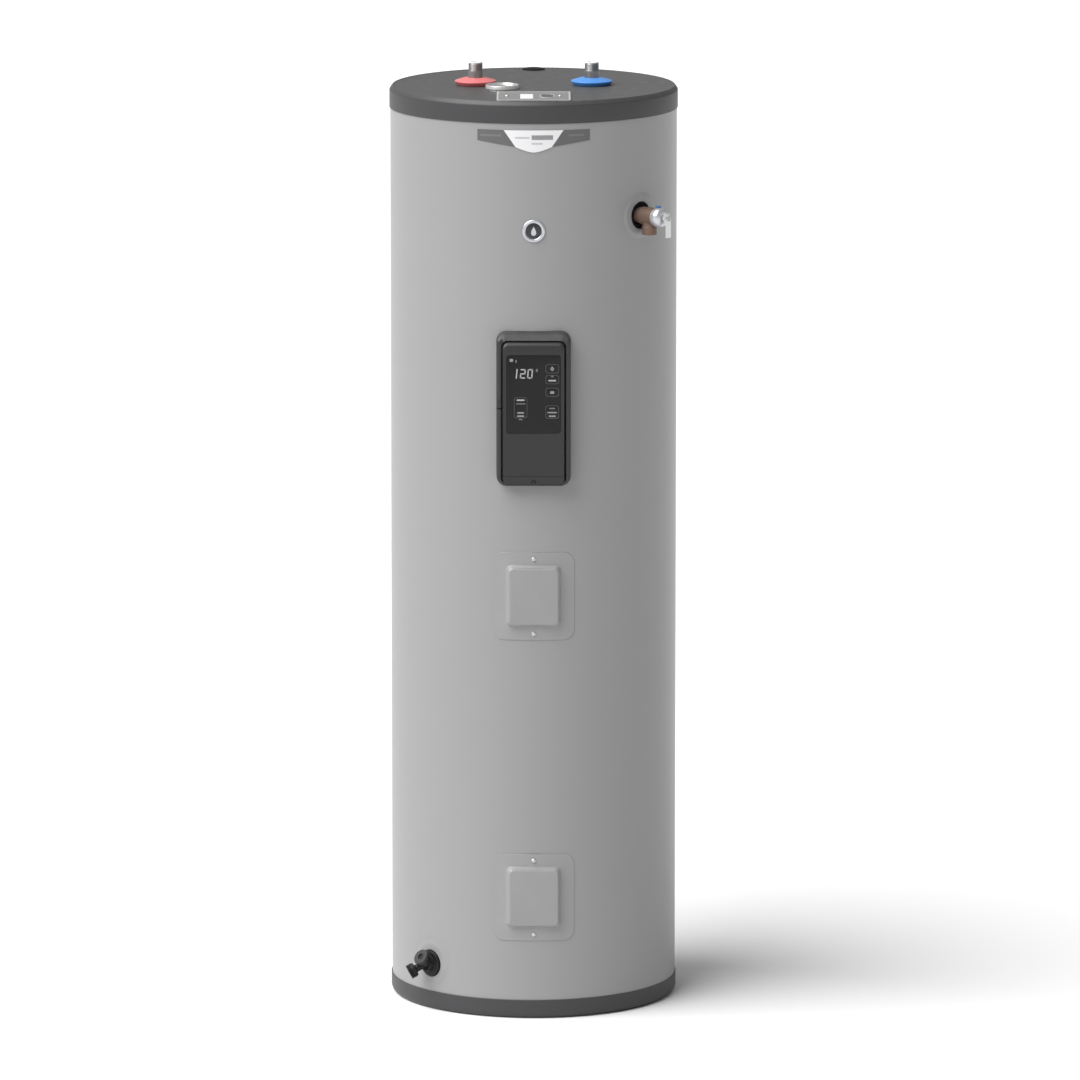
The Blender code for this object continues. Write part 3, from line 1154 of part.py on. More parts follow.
def make_drain_valve():
    """The moulded drain valve: body with its hose outlet, rising stem and round knob."""
    wall = JACKET_RADIUS
    body = rod("drain_valve_body", DRAIN_FLANGE, wall - DRAIN_FLANGE_HALF, wall + DRAIN_FLANGE_HALF,
               "black_plastic", ROUND_STEPS)
    at(body, turn=OUTWARD, parent=drain_axis)
    hub = bpy.data.objects.new("drain_hub", None)
    parts.objects.link(hub)
    at(hub, wall + DRAIN_HUB_OUT, 0.0, -DRAIN_HUB_DROP, parent=drain_axis)
    up = (0.0, math.pi / 2 - DRAIN_TILT_UP, 0.0)
    down = (0.0, math.pi / 2 + DRAIN_TILT_DOWN, DRAIN_SWING)
    shank = rod("drain_shank", PIPE_RADIUS, TANK_INNER - 0.003, wall)
    at(shank, turn=OUTWARD, parent=drain_axis)
    throat = rod("drain_throat", DRAIN_BODY, -DRAIN_HUB_OUT, 0.006, steps=ROUND_STEPS)
    at(throat, turn=OUTWARD, parent=hub)
    boss = rod("drain_boss", DRAIN_BOSS, 0.0, DRAIN_BOSS_LENGTH, steps=ROUND_STEPS)
    flare_start = DRAIN_REACH - DRAIN_THREAD_LENGTH - 0.005
    neck = rod("drain_neck", DRAIN_NECK, 0.0, flare_start + 0.001, steps=ROUND_STEPS)
    flare = rod("drain_flare", DRAIN_NECK - 0.0002, flare_start, flare_start + 0.0055,
                steps=ROUND_STEPS, end_radius=DRAIN_THREAD)
    thread = rod("drain_thread", DRAIN_THREAD, flare_start + 0.005, DRAIN_REACH, steps=ROUND_STEPS)
    mouth = rod("drain_mouth", DRAIN_OUTLET_BORE, DRAIN_REACH - DRAIN_THREAD_LENGTH,
                DRAIN_REACH + 0.01, steps=ROUND_STEPS)
    bore = rod("drain_bore", DRAIN_NECK_BORE, DRAIN_BODY, DRAIN_REACH)
    stem_bore = rod("drain_stem_bore", DRAIN_STEM + GAP, -0.008, DRAIN_BOSS_LENGTH + 0.01)
    for piece in (neck, flare, thread, mouth, bore):
        at(piece, turn=down, parent=hub)
    for piece in (boss, stem_bore):
        at(piece, turn=up, parent=hub)
    join(body, shank, throat, boss, neck, flare, thread)
    cut(body, mouth, bore, stem_bore)

    knob_base = DRAIN_BOSS_LENGTH + GAP
    knob_top = knob_base + KNOB_HEIGHT
    floor = knob_top - KNOB_RECESS_DEPTH
    knob = [
        (KNOB_RECESS, knob_top),
        (KNOB_RADIUS - 0.0015, knob_top),
        (KNOB_RADIUS, knob_top - 0.0015),
        (KNOB_RADIUS, knob_base + 0.0020),
        (DRAIN_BOSS, knob_base),
        (DRAIN_STEM + GAP, knob_base),
        (DRAIN_STEM + GAP, floor),
        (KNOB_RECESS, floor),
    ]
    at(turned("drain_knob", knob, "black_plastic", ROUND_STEPS, ring=True), turn=up, parent=hub)
    stem = rod("drain_stem", DRAIN_STEM, -0.0070, floor + 0.0008, "black_plastic", 16)
    at(stem, turn=up, parent=hub)


make_top_pan()
make_bottom_pan()
make_jacket()
make_foam()
make_tank()
make_nipples()
make_anode()
make_rear_plug()
make_junction_box()
for place, height in access_places:
    make_access_cover(place, height)
    make_foam_pad(place, height)
    make_element(place, height)
    make_thermostat(place, height)
make_leads()
make_control_panel()
make_labels()
make_badge()
make_relief_valve()
make_drain_valve()
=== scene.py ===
"""Looks of a tall electric tank water heater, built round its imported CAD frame. Metres, +Z up, the
control panel faces -Y. Each section holds one piece or one group of like pieces."""

import json
import math

import bmesh
import bpy
from mathutils import Matrix, Vector
from mathutils.geometry import delaunay_2d_cdt

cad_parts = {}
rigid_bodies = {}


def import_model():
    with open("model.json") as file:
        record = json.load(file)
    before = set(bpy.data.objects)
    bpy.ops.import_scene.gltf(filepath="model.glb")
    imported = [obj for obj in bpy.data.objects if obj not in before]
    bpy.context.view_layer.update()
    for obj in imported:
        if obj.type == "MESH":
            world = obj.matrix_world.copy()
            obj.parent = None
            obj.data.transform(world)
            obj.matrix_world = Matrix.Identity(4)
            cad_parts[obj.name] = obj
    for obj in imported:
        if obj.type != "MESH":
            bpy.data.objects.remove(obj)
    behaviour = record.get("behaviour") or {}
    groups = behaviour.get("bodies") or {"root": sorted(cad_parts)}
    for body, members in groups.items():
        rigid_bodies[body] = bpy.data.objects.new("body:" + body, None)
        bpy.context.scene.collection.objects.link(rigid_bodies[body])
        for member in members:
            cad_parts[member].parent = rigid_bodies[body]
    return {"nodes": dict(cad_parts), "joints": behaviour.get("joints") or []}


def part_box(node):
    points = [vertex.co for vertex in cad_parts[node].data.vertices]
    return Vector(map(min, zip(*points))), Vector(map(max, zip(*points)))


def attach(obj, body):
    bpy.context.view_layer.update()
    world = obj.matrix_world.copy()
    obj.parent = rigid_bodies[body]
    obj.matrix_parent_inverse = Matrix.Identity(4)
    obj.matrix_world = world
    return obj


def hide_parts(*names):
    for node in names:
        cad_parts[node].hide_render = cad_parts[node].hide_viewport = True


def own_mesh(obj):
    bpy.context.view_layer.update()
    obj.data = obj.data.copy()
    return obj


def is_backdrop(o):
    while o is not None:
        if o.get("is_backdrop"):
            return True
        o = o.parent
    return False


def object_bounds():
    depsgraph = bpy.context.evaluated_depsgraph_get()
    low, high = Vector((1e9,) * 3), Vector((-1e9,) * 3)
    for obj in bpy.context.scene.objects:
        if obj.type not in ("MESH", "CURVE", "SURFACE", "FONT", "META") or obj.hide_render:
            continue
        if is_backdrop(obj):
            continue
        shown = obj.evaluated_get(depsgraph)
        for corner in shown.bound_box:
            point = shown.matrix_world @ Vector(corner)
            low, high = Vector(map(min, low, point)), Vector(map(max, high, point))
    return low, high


for leftover in list(bpy.data.objects):
    bpy.data.objects.remove(leftover, do_unlink=True)
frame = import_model()
cad_low, cad_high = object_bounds()
scene = bpy.context.scene


# The room is a pale floor under a white sky, a little brighter on the left. A broad soft lamp stands
# high on the left, so the left side of the heater is the brighter one and its shadow is faint.
CAMERA_PLACE = (0.0, -15.619, 3.5241)
CAMERA_PITCH = math.radians(90 - 9.865)
CAMERA_LENS = 299.4
CAMERA_SHIFT = 0.0059
SKY_LIGHT = 0.42
SKY_SLOPE = 0.10
LAMP_LIGHT = 4.4
LAMP_TILT = math.radians(38)
LAMP_SIDE = math.radians(-60)
FLOOR_SIZE = 120.0

camera = bpy.data.objects.new("camera", bpy.data.cameras.new("camera"))
scene.collection.objects.link(camera)
camera.location = CAMERA_PLACE
camera.rotation_euler = (CAMERA_PITCH, 0.0, 0.0)
camera.data.lens = CAMERA_LENS
camera.data.shift_x = CAMERA_SHIFT
camera.data.clip_end = 200.0
scene.camera = camera
scene.view_settings.view_transform = "Standard"

sky = bpy.data.worlds.new("white_sky")
sky.use_nodes = True
sky.node_tree.nodes["Background"].inputs["Color"].default_value = (1.0, 1.0, 1.0, 1.0)
sky_direction = sky.node_tree.nodes.new("ShaderNodeTexCoord")
sky_parts = sky.node_tree.nodes.new("ShaderNodeSeparateXYZ")
sky_strength = sky.node_tree.nodes.new("ShaderNodeMath")
sky_strength.operation = "MULTIPLY_ADD"
sky_strength.inputs[1].default_value = -SKY_SLOPE
sky_strength.inputs[2].default_value = SKY_LIGHT
sky.node_tree.links.new(sky_direction.outputs["Generated"], sky_parts.inputs[0])
sky.node_tree.links.new(sky_parts.outputs["X"], sky_strength.inputs[0])
sky.node_tree.links.new(sky_strength.outputs[0], sky.node_tree.nodes["Background"].inputs["Strength"])
scene.world = sky

lamp = bpy.data.objects.new("left_lamp", bpy.data.lights.new("left_lamp", "SUN"))
scene.collection.objects.link(lamp)
lamp.data.energy = LAMP_LIGHT
lamp.data.angle = math.radians(55)
lamp.rotation_euler = (LAMP_TILT, 0.0, LAMP_SIDE)

floor_mesh = bpy.data.meshes.new("floor")
half_floor = FLOOR_SIZE / 2
floor_corners = [(x * half_floor, y * half_floor, 0.0) for x, y in ((-1, -1), (1, -1), (1, 1), (-1, 1))]
floor_mesh.from_pydata(floor_corners, [], [(0, 1, 2, 3)])
floor = bpy.data.objects.new("floor", floor_mesh)
scene.collection.objects.link(floor)
floor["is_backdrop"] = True
floor_paint = bpy.data.materials.new("pale_floor")
floor_paint.use_nodes = True
floor_shader = floor_paint.node_tree.nodes["Principled BSDF"]
floor_shader.inputs["Base Color"].default_value = (0.80, 0.80, 0.80, 1.0)
floor_shader.inputs["Roughness"].default_value = 0.9
floor_shader.inputs["Specular IOR Level"].default_value = 0.1
floor_mesh.materials.append(floor_paint)


# The jacket is one sheet of painted steel, rolled round and folded into a seam at the back. It is
# pressed out round the two valve holes, and cut out behind each access cover.
def effect(name, inputs, outputs):
    """A shader node group with float inputs; returns its tree and its two ends."""
    tree = bpy.data.node_groups.new(name, "ShaderNodeTree")
    for socket_name, value in inputs.items():
        socket = tree.interface.new_socket(socket_name, in_out="INPUT", socket_type="NodeSocketFloat")
        socket.default_value = value
    for socket_name in outputs:
        tree.interface.new_socket(socket_name, in_out="OUTPUT", socket_type="NodeSocketFloat")
    return tree, tree.nodes.new("NodeGroupInput"), tree.nodes.new("NodeGroupOutput")


def sum_of(tree, operation, first, second):
    """A Math node; each of its terms is a socket or a number."""
    node = tree.nodes.new("ShaderNodeMath")
    node.operation = operation
    for socket, term in zip(node.inputs, (first, second)):
        if isinstance(term, (int, float)):
            socket.default_value = term
        else:
            tree.links.new(term, socket)
    return node.outputs[0]


def speckle(tree, scale, detail=2.0, stretch=(1.0, 1.0, 1.0)):
    """Noise in the piece's own coordinates, finer with a larger scale."""
    place = tree.nodes.new("ShaderNodeTexCoord")
    mapping = tree.nodes.new("ShaderNodeMapping")
    mapping.inputs["Scale"].default_value = stretch
    noise = tree.nodes.new("ShaderNodeTexNoise")
    noise.inputs["Detail"].default_value = detail
    tree.links.new(place.outputs["Object"], mapping.inputs["Vector"])
    tree.links.new(mapping.outputs["Vector"], noise.inputs["Vector"])
    if isinstance(scale, (int, float)):
        noise.inputs["Scale"].default_value = scale
    else:
        tree.links.new(scale, noise.inputs["Scale"])
    return noise.outputs["Fac"]


# Small even waves in a finish: orange peel on paint, or the grain of a mould.
skin_texture, ends_in, ends_out = effect("skin_texture", {"Fineness": 900.0, "Depth": 0.00002}, ["Height"])
waves = speckle(skin_texture, ends_in.outputs["Fineness"], 1.5)
skin_texture.links.new(
    sum_of(skin_texture, "MULTIPLY", waves, ends_in.outputs["Depth"]), ends_out.inputs["Height"]
)

# Slow changes in shade and gloss, from handling and from the way a batch cures.
uneven_cure, ends_in, ends_out = effect("uneven_cure", {"Spread": 0.04}, ["Shade", "Gloss"])
clouds = sum_of(uneven_cure, "SUBTRACT", speckle(uneven_cure, 7.0, 3.0), 0.5)
smears = sum_of(uneven_cure, "SUBTRACT", speckle(uneven_cure, 40.0, 4.0), 0.5)
spread = ends_in.outputs["Spread"]
shade = sum_of(uneven_cure, "ADD", 1.0, sum_of(uneven_cure, "MULTIPLY", clouds, spread))
gloss = sum_of(uneven_cure, "ADD", 1.0, sum_of(uneven_cure, "MULTIPLY", smears, spread))
uneven_cure.links.new(shade, ends_out.inputs["Shade"])
uneven_cure.links.new(sum_of(uneven_cure, "MULTIPLY", gloss, 1.0), ends_out.inputs["Gloss"])

# A thin film of dust that settles on faces that look up.
settled_dust, ends_in, ends_out = effect("settled_dust", {"Amount": 0.1}, ["Mask"])
facing = settled_dust.nodes.new("ShaderNodeNewGeometry")
split = settled_dust.nodes.new("ShaderNodeSeparateXYZ")
settled_dust.links.new(facing.outputs["Normal"], split.inputs[0])
upward = sum_of(settled_dust, "MAXIMUM", sum_of(settled_dust, "SUBTRACT", split.outputs["Z"], 0.3), 0.0)
patchy = sum_of(settled_dust, "MULTIPLY", upward, speckle(settled_dust, 60.0, 5.0))
settled_dust.links.new(
    sum_of(settled_dust, "MULTIPLY", patchy, ends_in.outputs["Amount"]), ends_out.inputs["Mask"]
)

# Fine lines left by drawing, turning or brushing metal, along one of the piece's own axes.
drawn_lines, ends_in, ends_out = effect("drawn_lines", {"Depth": 0.00002}, ["Height", "Gloss"])
lines = speckle(drawn_lines, 260.0, 3.0, (1.0, 1.0, 0.06))
drawn_lines.links.new(
    sum_of(drawn_lines, "MULTIPLY", lines, ends_in.outputs["Depth"]), ends_out.inputs["Height"]
)
drawn_lines.links.new(sum_of(drawn_lines, "ADD", 0.8, sum_of(drawn_lines, "MULTIPLY", lines, 0.4)),
                      ends_out.inputs["Gloss"])

DUST = (0.55, 0.54, 0.52, 1.0)


def finish(name, colour, roughness, metallic=0.0, fineness=900.0, depth=0.00002, spread=0.05,
           dust=0.0, lines=0.0, coat=0.0, specular=0.5):
    """A material in one colour with its own grain, unevenness, dust and metal lines."""
    made = bpy.data.materials.new(name)
    made.use_nodes = True
    tree = made.node_tree
    shader = tree.nodes["Principled BSDF"]
    shader.inputs["Metallic"].default_value = metallic
    shader.inputs["Specular IOR Level"].default_value = specular
    shader.inputs["Coat Weight"].default_value = coat
    shader.inputs["Coat Roughness"].default_value = 0.12

    def effect_of(group, **values):
        node = tree.nodes.new("ShaderNodeGroup")
        node.node_tree = group
        for socket, value in values.items():
            node.inputs[socket].default_value = value
        return node

    cure = effect_of(uneven_cure, Spread=spread)
    tint = tree.nodes.new("ShaderNodeMix")
    tint.data_type = "RGBA"
    tint.blend_type = "MULTIPLY"
    tint.inputs[0].default_value = 1.0
    tint.inputs[6].default_value = (*colour, 1.0)
    tree.links.new(cure.outputs["Shade"], tint.inputs[7])
    dusty = tree.nodes.new("ShaderNodeMix")
    dusty.data_type = "RGBA"
    tree.links.new(effect_of(settled_dust, Amount=dust).outputs["Mask"], dusty.inputs[0])
    tree.links.new(tint.outputs[2], dusty.inputs[6])
    dusty.inputs[7].default_value = DUST
    tree.links.new(dusty.outputs[2], shader.inputs["Base Color"])
    height = effect_of(skin_texture, Fineness=fineness, Depth=depth).outputs["Height"]
    rough = sum_of(tree, "MULTIPLY", cure.outputs["Gloss"], roughness)
    if lines:
        drawn = effect_of(drawn_lines, Depth=lines)
        height = sum_of(tree, "ADD", height, drawn.outputs["Height"])
        rough = sum_of(tree, "MULTIPLY", rough, drawn.outputs["Gloss"])
    bump = tree.nodes.new("ShaderNodeBump")
    bump.inputs["Distance"].default_value = 1.0
    tree.links.new(height, bump.inputs["Height"])
    tree.links.new(bump.outputs["Normal"], shader.inputs["Normal"])
    tree.links.new(rough, shader.inputs["Roughness"])
    return made


def fit(piece, body, slot, *nodes):
    """Rides a piece on its body and hides the CAD nodes that it stands for; its slot is not used."""
    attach(piece, body)
    if nodes:
        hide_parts(*nodes)
    return piece


def show(name, mesh, *materials):
    """Puts a mesh in the scene with its materials."""
    for one in materials:
        mesh.materials.append(one)
    piece = bpy.data.objects.new(name, mesh)
    scene.collection.objects.link(piece)
    return piece


def ramp(value):
    """An S-shaped step from 0 to 1."""
    value = min(max(value, 0.0), 1.0)
    return value * value * (3 - 2 * value)


joints = {joint["name"]: joint for joint in frame["joints"]}
jacket_low, jacket_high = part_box("outer_jacket")
JACKET = jacket_high.x
JACKET_SHEET = 0.0007
tp_out = Vector(joints["tp_stem_lift"]["axis"])
tp_pin = Vector(joints["tp_lever_swing"]["pos_m"])
knob_axis = Vector(joints["drain_knob_turn"]["axis"])
drain_hub = Vector(joints["drain_knob_turn"]["pos_m"])
drain_out = Vector((knob_axis.x, knob_axis.y, 0.0)).normalized()
DRAIN_HEIGHT = 0.083
TP_HOLE = 0.0240
DRAIN_HOLE = 0.0237
BOSS_TOP = 0.0335
BOSS_FOOT = 0.0420
BOSS_RISE = 0.0013
HOLE_LIP = 0.0012
SEAM_HALF = 0.0065
SEAM_RISE = 0.0009
COVER_MIDDLES = [sum((c.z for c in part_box(f"{side}_access_cover")), 0.0) / 2 for side in ("upper", "lower")]
OPENING = (0.0435, 0.0500, 0.0090)
COLUMNS, ROWS = 180, 26
valve_holes = [
    (JACKET * math.atan2(tp_out.x, -tp_out.y), tp_pin.z, TP_HOLE),
    (JACKET * math.atan2(drain_out.x, -drain_out.y), DRAIN_HEIGHT, DRAIN_HOLE),
]


def pressed(across, height):
    """How far the sheet stands out of its cylinder at a place measured round from the front."""
    rise = SEAM_RISE * ramp((SEAM_HALF + 0.0015 - (math.pi * JACKET - abs(across))) / 0.0015)
    for hole_across, hole_height, hole in valve_holes:
        away = math.hypot(across - hole_across, height - hole_height)
        rise += BOSS_RISE * ramp((BOSS_FOOT - away) / (BOSS_FOOT - BOSS_TOP))
        over = min(max((hole + HOLE_LIP - away) / HOLE_LIP, 0.0), 1.0)
        rise -= HOLE_LIP * (1 - math.sqrt(1 - over * over))
    return rise


def on_jacket(across, height, out=0.0):
    """The point at a distance across from the front, round the jacket, and out from it."""
    turn = across / JACKET
    return Vector(((JACKET + out) * math.sin(turn), -(JACKET + out) * math.cos(turn), height))


def sheet_normal(across, height):
    step = 0.0002
    lean_across = (pressed(across + step, height) - pressed(across - step, height)) / (2 * step)
    lean_up = (pressed(across, height + step) - pressed(across, height - step)) / (2 * step)
    turn = across / JACKET
    out = Vector((math.sin(turn), -math.cos(turn), 0.0))
    round_ = Vector((math.cos(turn), math.sin(turn), 0.0))
    return (out - lean_across * round_ - lean_up * Vector((0, 0, 1))).normalized()


def corner_loop(half_width, half_height, corner, steps=8, side=0):
    """(across, up) points round a rectangle with round corners, with extra points on its sides."""
    points = []
    for quarter in range(4):
        sign_x = 1 if quarter in (0, 3) else -1
        sign_z = 1 if quarter in (0, 1) else -1
        for step in range(steps + 1):
            angle = (quarter + step / steps) * math.pi / 2
            points.append((sign_x * (half_width - corner) + corner * math.cos(angle),
                           sign_z * (half_height - corner) + corner * math.sin(angle)))
        if side:
            turn_x, turn_z = (-1, 0) if quarter % 2 == 0 else (0, -1 if quarter == 1 else 1)
            if quarter == 2:
                turn_x = 1
            run = 2 * ((half_width if quarter % 2 == 0 else half_height) - corner)
            last = points[-1]
            for step in range(1, side):
                points.append((last[0] + turn_x * run * step / side,
                               last[1] + turn_z * run * step / side))
    return points


def outside_opening(across, up, spare):
    """True if a point lies clear of an access opening by the spare distance."""
    half_width, half_height, corner = OPENING
    dx = max(abs(across) - (half_width - corner), 0.0)
    dz = max(abs(up) - (half_height - corner), 0.0)
    return math.hypot(dx, dz) > corner + spare


half_round = math.pi * JACKET
flat_points, fixed_edges = [], []


def add_ring(outline, fixed):
    start = len(flat_points)
    flat_points.extend(Vector(point) for point in outline)
    if fixed:
        count = len(outline)
        fixed_edges.extend((start + i, start + (i + 1) % count) for i in range(count))


seam_columns = [sign * (half_round - away)
                for sign in (-1, 1) for away in (0.0045, SEAM_HALF, 0.0074, 0.0083)]
columns = sorted([half_round * (2 * i / COLUMNS - 1) for i in range(COLUMNS + 1)] + seam_columns)
patch = BOSS_FOOT + 0.004
for across in columns:
    for row in range(ROWS + 1):
        height = jacket_low.z + (jacket_high.z - jacket_low.z) * row / ROWS
        near_valve = any(math.hypot(across - a, height - h) < patch and 0 < row < ROWS
                         for a, h, _ in valve_holes)
        near_cover = any(not outside_opening(across, height - z, 0.004) for z in COVER_MIDDLES)
        if not (near_valve or near_cover):
            flat_points.append(Vector((across, height)))
for hole_across, hole_height, hole in valve_holes:
    rings = [hole, hole + 0.0003, hole + 0.0007, hole + HOLE_LIP, hole + 0.004]
    rings += [BOSS_TOP + (BOSS_FOOT - BOSS_TOP) * i / 6 for i in range(-1, 8)]
    for number, ring in enumerate(rings):
        outline = [(hole_across + ring * math.cos(i * math.tau / 72),
                    hole_height + ring * math.sin(i * math.tau / 72))
                   for i in range(72)]
        add_ring(outline, number == 0)
for z in COVER_MIDDLES:
    add_ring([(x, z + up) for x, up in corner_loop(*OPENING, 6)], True)
laid, _, triangles, *_ = delaunay_2d_cdt(flat_points, fixed_edges, [], 0, 1e-6)


def in_cut_out(across, height):
    for hole_across, hole_height, hole in valve_holes:
        if math.hypot(across - hole_across, height - hole_height) < hole:
            return True
    return any(not outside_opening(across, height - z, 0.0) for z in COVER_MIDDLES)


sheet_index, sheet_points, laid_to_sheet = {}, [], []
for point in laid:
    key = tuple(round(c, 5) for c in on_jacket(*point))
    if key not in sheet_index:
        sheet_index[key] = len(sheet_points)
        sheet_points.append(point)
    laid_to_sheet.append(sheet_index[key])
sheet_faces = []
for triangle in triangles:
    middle = sum((laid[i] for i in triangle), Vector((0, 0))) / 3
    ids = [laid_to_sheet[i] for i in triangle]
    if not in_cut_out(*middle) and len(set(ids)) == 3:
        sheet_faces.append(ids)

def shell(outer, inner, tops):
    """A closed thin solid: the faces over outer, the same ones under inner, and a rim between."""
    count = len(outer)
    faces = [tuple(f) for f in tops] + [tuple(count + i for i in reversed(f)) for f in tops]
    uses = {}
    for f in tops:
        for a, b in zip(f, f[1:] + f[:1]):
            uses.setdefault(frozenset((a, b)), []).append((a, b))
    faces += [(b, a, count + a, count + b) for (a, b), *more in uses.values() if not more]
    return outer + inner, faces


lean = [sheet_normal(*p) for p in sheet_points]
corners, faces = shell([on_jacket(*p, pressed(*p)) for p in sheet_points],
                       [on_jacket(*p, pressed(*p) - JACKET_SHEET) for p in sheet_points], sheet_faces)
loop_normals = [lean[i] for f in sheet_faces for i in f]
loop_normals += [-lean[i] for f in sheet_faces for i in reversed(f)]
for f in faces[2 * len(sheet_faces):]:
    a, b, c = (corners[i] for i in f[:3])
    loop_normals += [(b - a).cross(c - b).normalized()] * 4
jacket_mesh = bpy.data.meshes.new("jacket")
jacket_mesh.from_pydata(corners, [], faces)
jacket_mesh.shade_smooth()
jacket_mesh.normals_split_custom_set(loop_normals)
jacket_paint = finish("grey_baked_paint", (0.258, 0.258, 0.260), 0.42, fineness=700.0, depth=0.000012,
                      spread=0.03, dust=0.05, coat=0.12)
fit(show("painted_jacket", jacket_mesh, jacket_paint), "heater", "jacket_paint", "outer_jacket")


# The top cover is one moulding of dark plastic with a turned-down skirt. A narrow rim runs round
# its edge, and it has holes for the nipples, the anode, the rear plug and the wiring box.
def solid(name, bm, crease=35):
    """A closed mesh with smooth rounds and crisp edges."""
    bmesh.ops.remove_doubles(bm, verts=bm.verts, dist=1e-7)
    bmesh.ops.recalc_face_normals(bm, faces=bm.faces)
    mesh = bpy.data.meshes.new(name)
    bm.to_mesh(mesh)
    bm.free()
    mesh.shade_smooth()
    mesh.set_sharp_from_angle(angle=math.radians(crease))
    return mesh


def filleted(corners, steps=5):
    """A closed outline of (across, up, radius) corners, each rounded to its radius."""
    outline = []
    for number, (across, up, radius) in enumerate(corners):
        here = Vector((across, up))
        if not radius:
            outline.append(tuple(here))
            continue
        back = Vector(corners[number - 1][:2]) - here
        ahead = Vector(corners[(number + 1) % len(corners)][:2]) - here
        half = back.angle(ahead) / 2
        reach = min(radius / math.tan(half), back.length * 0.49, ahead.length * 0.49)
        radius = reach * math.tan(half)
        centre = here + (back.normalized() + ahead.normalized()).normalized() * (radius / math.sin(half))
        first = here + back.normalized() * reach - centre
        last = here + ahead.normalized() * reach - centre
        start = math.atan2(first.y, first.x)
        sweep = (math.atan2(last.y, last.x) - start + math.pi) % math.tau - math.pi
        for step in range(steps + 1):
            angle = start + sweep * step / steps
            outline.append((centre.x + radius * math.cos(angle), centre.y + radius * math.sin(angle)))
    return outline


def turned(name, outline, place=Matrix(), steps=64, wave=None):
    """A closed (radius, height) outline turned round Z; wave(radius, height, turn) shifts a radius."""
    bm = bmesh.new()
    columns = []
    for step in range(steps):
        turn = step / steps
        column = []
        for radius, height in outline:
            shifted = wave(radius, height, turn) if wave else radius
            column.append(bm.verts.new((shifted * math.cos(turn * math.tau),
                                        shifted * math.sin(turn * math.tau), height)))
        columns.append(column)
    count = len(outline)
    for column, following in zip(columns, columns[1:] + columns[:1]):
        for i in range(count):
            j = (i + 1) % count
            if outline[i][0] > 1e-9 or outline[j][0] > 1e-9:
                bm.faces.new((column[i], column[j], following[j], following[i]))
    mesh = solid(name, bm)
    mesh.transform(place)
    return mesh


def skin(name, loops, place=Matrix(), hollow=False, crease=35):
    """A solid skinned over loops of equally many points, capped at both ends unless hollow."""
    bm = bmesh.new()
    rings = [[bm.verts.new(point) for point in loop] for loop in loops]
    pairs = list(zip(rings, rings[1:]))
    if hollow:
        pairs.append((rings[-1], rings[0]))
    else:
        bm.faces.new(rings[0])
        bm.faces.new(rings[-1])
    for ring, following in pairs:
        for i in range(len(ring)):
            j = (i + 1) % len(ring)
            bm.faces.new((ring[i], ring[j], following[j], following[i]))
    mesh = solid(name, bm, crease)
    mesh.transform(place)
    return mesh


def ring(half_width, half_height, corner, depth, lift=0.0, steps=6, side=1):
    """A rounded rectangle's loop in the XY plane; its depth along Z is a number or a function."""
    points = []
    for across, up in corner_loop(half_width, half_height, max(corner, 0.0002), steps, side):
        high = depth(across, up + lift) if callable(depth) else depth
        points.append(Vector((across, up + lift, high)))
    return points


def plate(name, half_width, half_height, corner, back, front, edge, place=Matrix(), lift=0.0):
    """A plate with round corners and a rounded front edge, between two depths."""
    loops = [ring(half_width, half_height, corner, back, lift)]
    for step in range(5):
        angle = step / 4 * math.pi / 2
        inset = edge * (1 - math.cos(angle))
        loops.append(ring(half_width - inset, half_height - inset, corner - inset,
                          front - edge * (1 - math.sin(angle)), lift))
    return skin(name, loops, place)


def prism(name, outline, low, high, place=Matrix()):
    """An outline in the XY plane made thick from low to high."""
    return skin(name, [[Vector((x, y, z)) for x, y in outline] for z in (low, high)], place)


def carve(piece, *tools, operation="DIFFERENCE"):
    """Cuts tool meshes out of a piece, or joins them to it, with exact Booleans."""
    helpers = []
    for tool in tools:
        helper = bpy.data.objects.new("tool", tool)
        scene.collection.objects.link(helper)
        boolean = piece.modifiers.new("tool", "BOOLEAN")
        boolean.operation = operation
        boolean.solver = "EXACT"
        boolean.object = helper
        helpers.append(helper)
    shaped = bpy.data.meshes.new_from_object(piece.evaluated_get(bpy.context.evaluated_depsgraph_get()))
    piece.modifiers.clear()
    piece.data = shaped
    shaped.shade_smooth()
    shaped.set_sharp_from_angle(angle=math.radians(35))
    for helper in helpers:
        bpy.data.objects.remove(helper)
    return piece


def rod(radius, low, high, place=Matrix(), steps=48):
    return turned("rod", [(0, low), (radius, low), (radius, high), (0, high)], place, steps)


pan_low, pan_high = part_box("top_pan")
PAN = pan_high.x
PAN_SHEET = 0.0012
RIM_HEIGHT = 0.0010
top_z = pan_high.z
face_z = top_z - RIM_HEIGHT
hot_low, hot_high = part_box("hot_nipple")
cold_low, cold_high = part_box("cold_nipple")
nipple_x = (cold_low.x + cold_high.x) / 2
PIPE = (cold_high.x - cold_low.x) / 2
anode_low, anode_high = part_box("anode_cap")
anode_centre = (anode_low + anode_high) / 2
plug_low, plug_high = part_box("rear_plug")
plug_y = (plug_low.y + plug_high.y) / 2
box_low, box_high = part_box("junction_box")
HOLE_SPARE = 0.0015
ANODE_HOLE = 0.0240
PLUG_HOLE = 0.0150

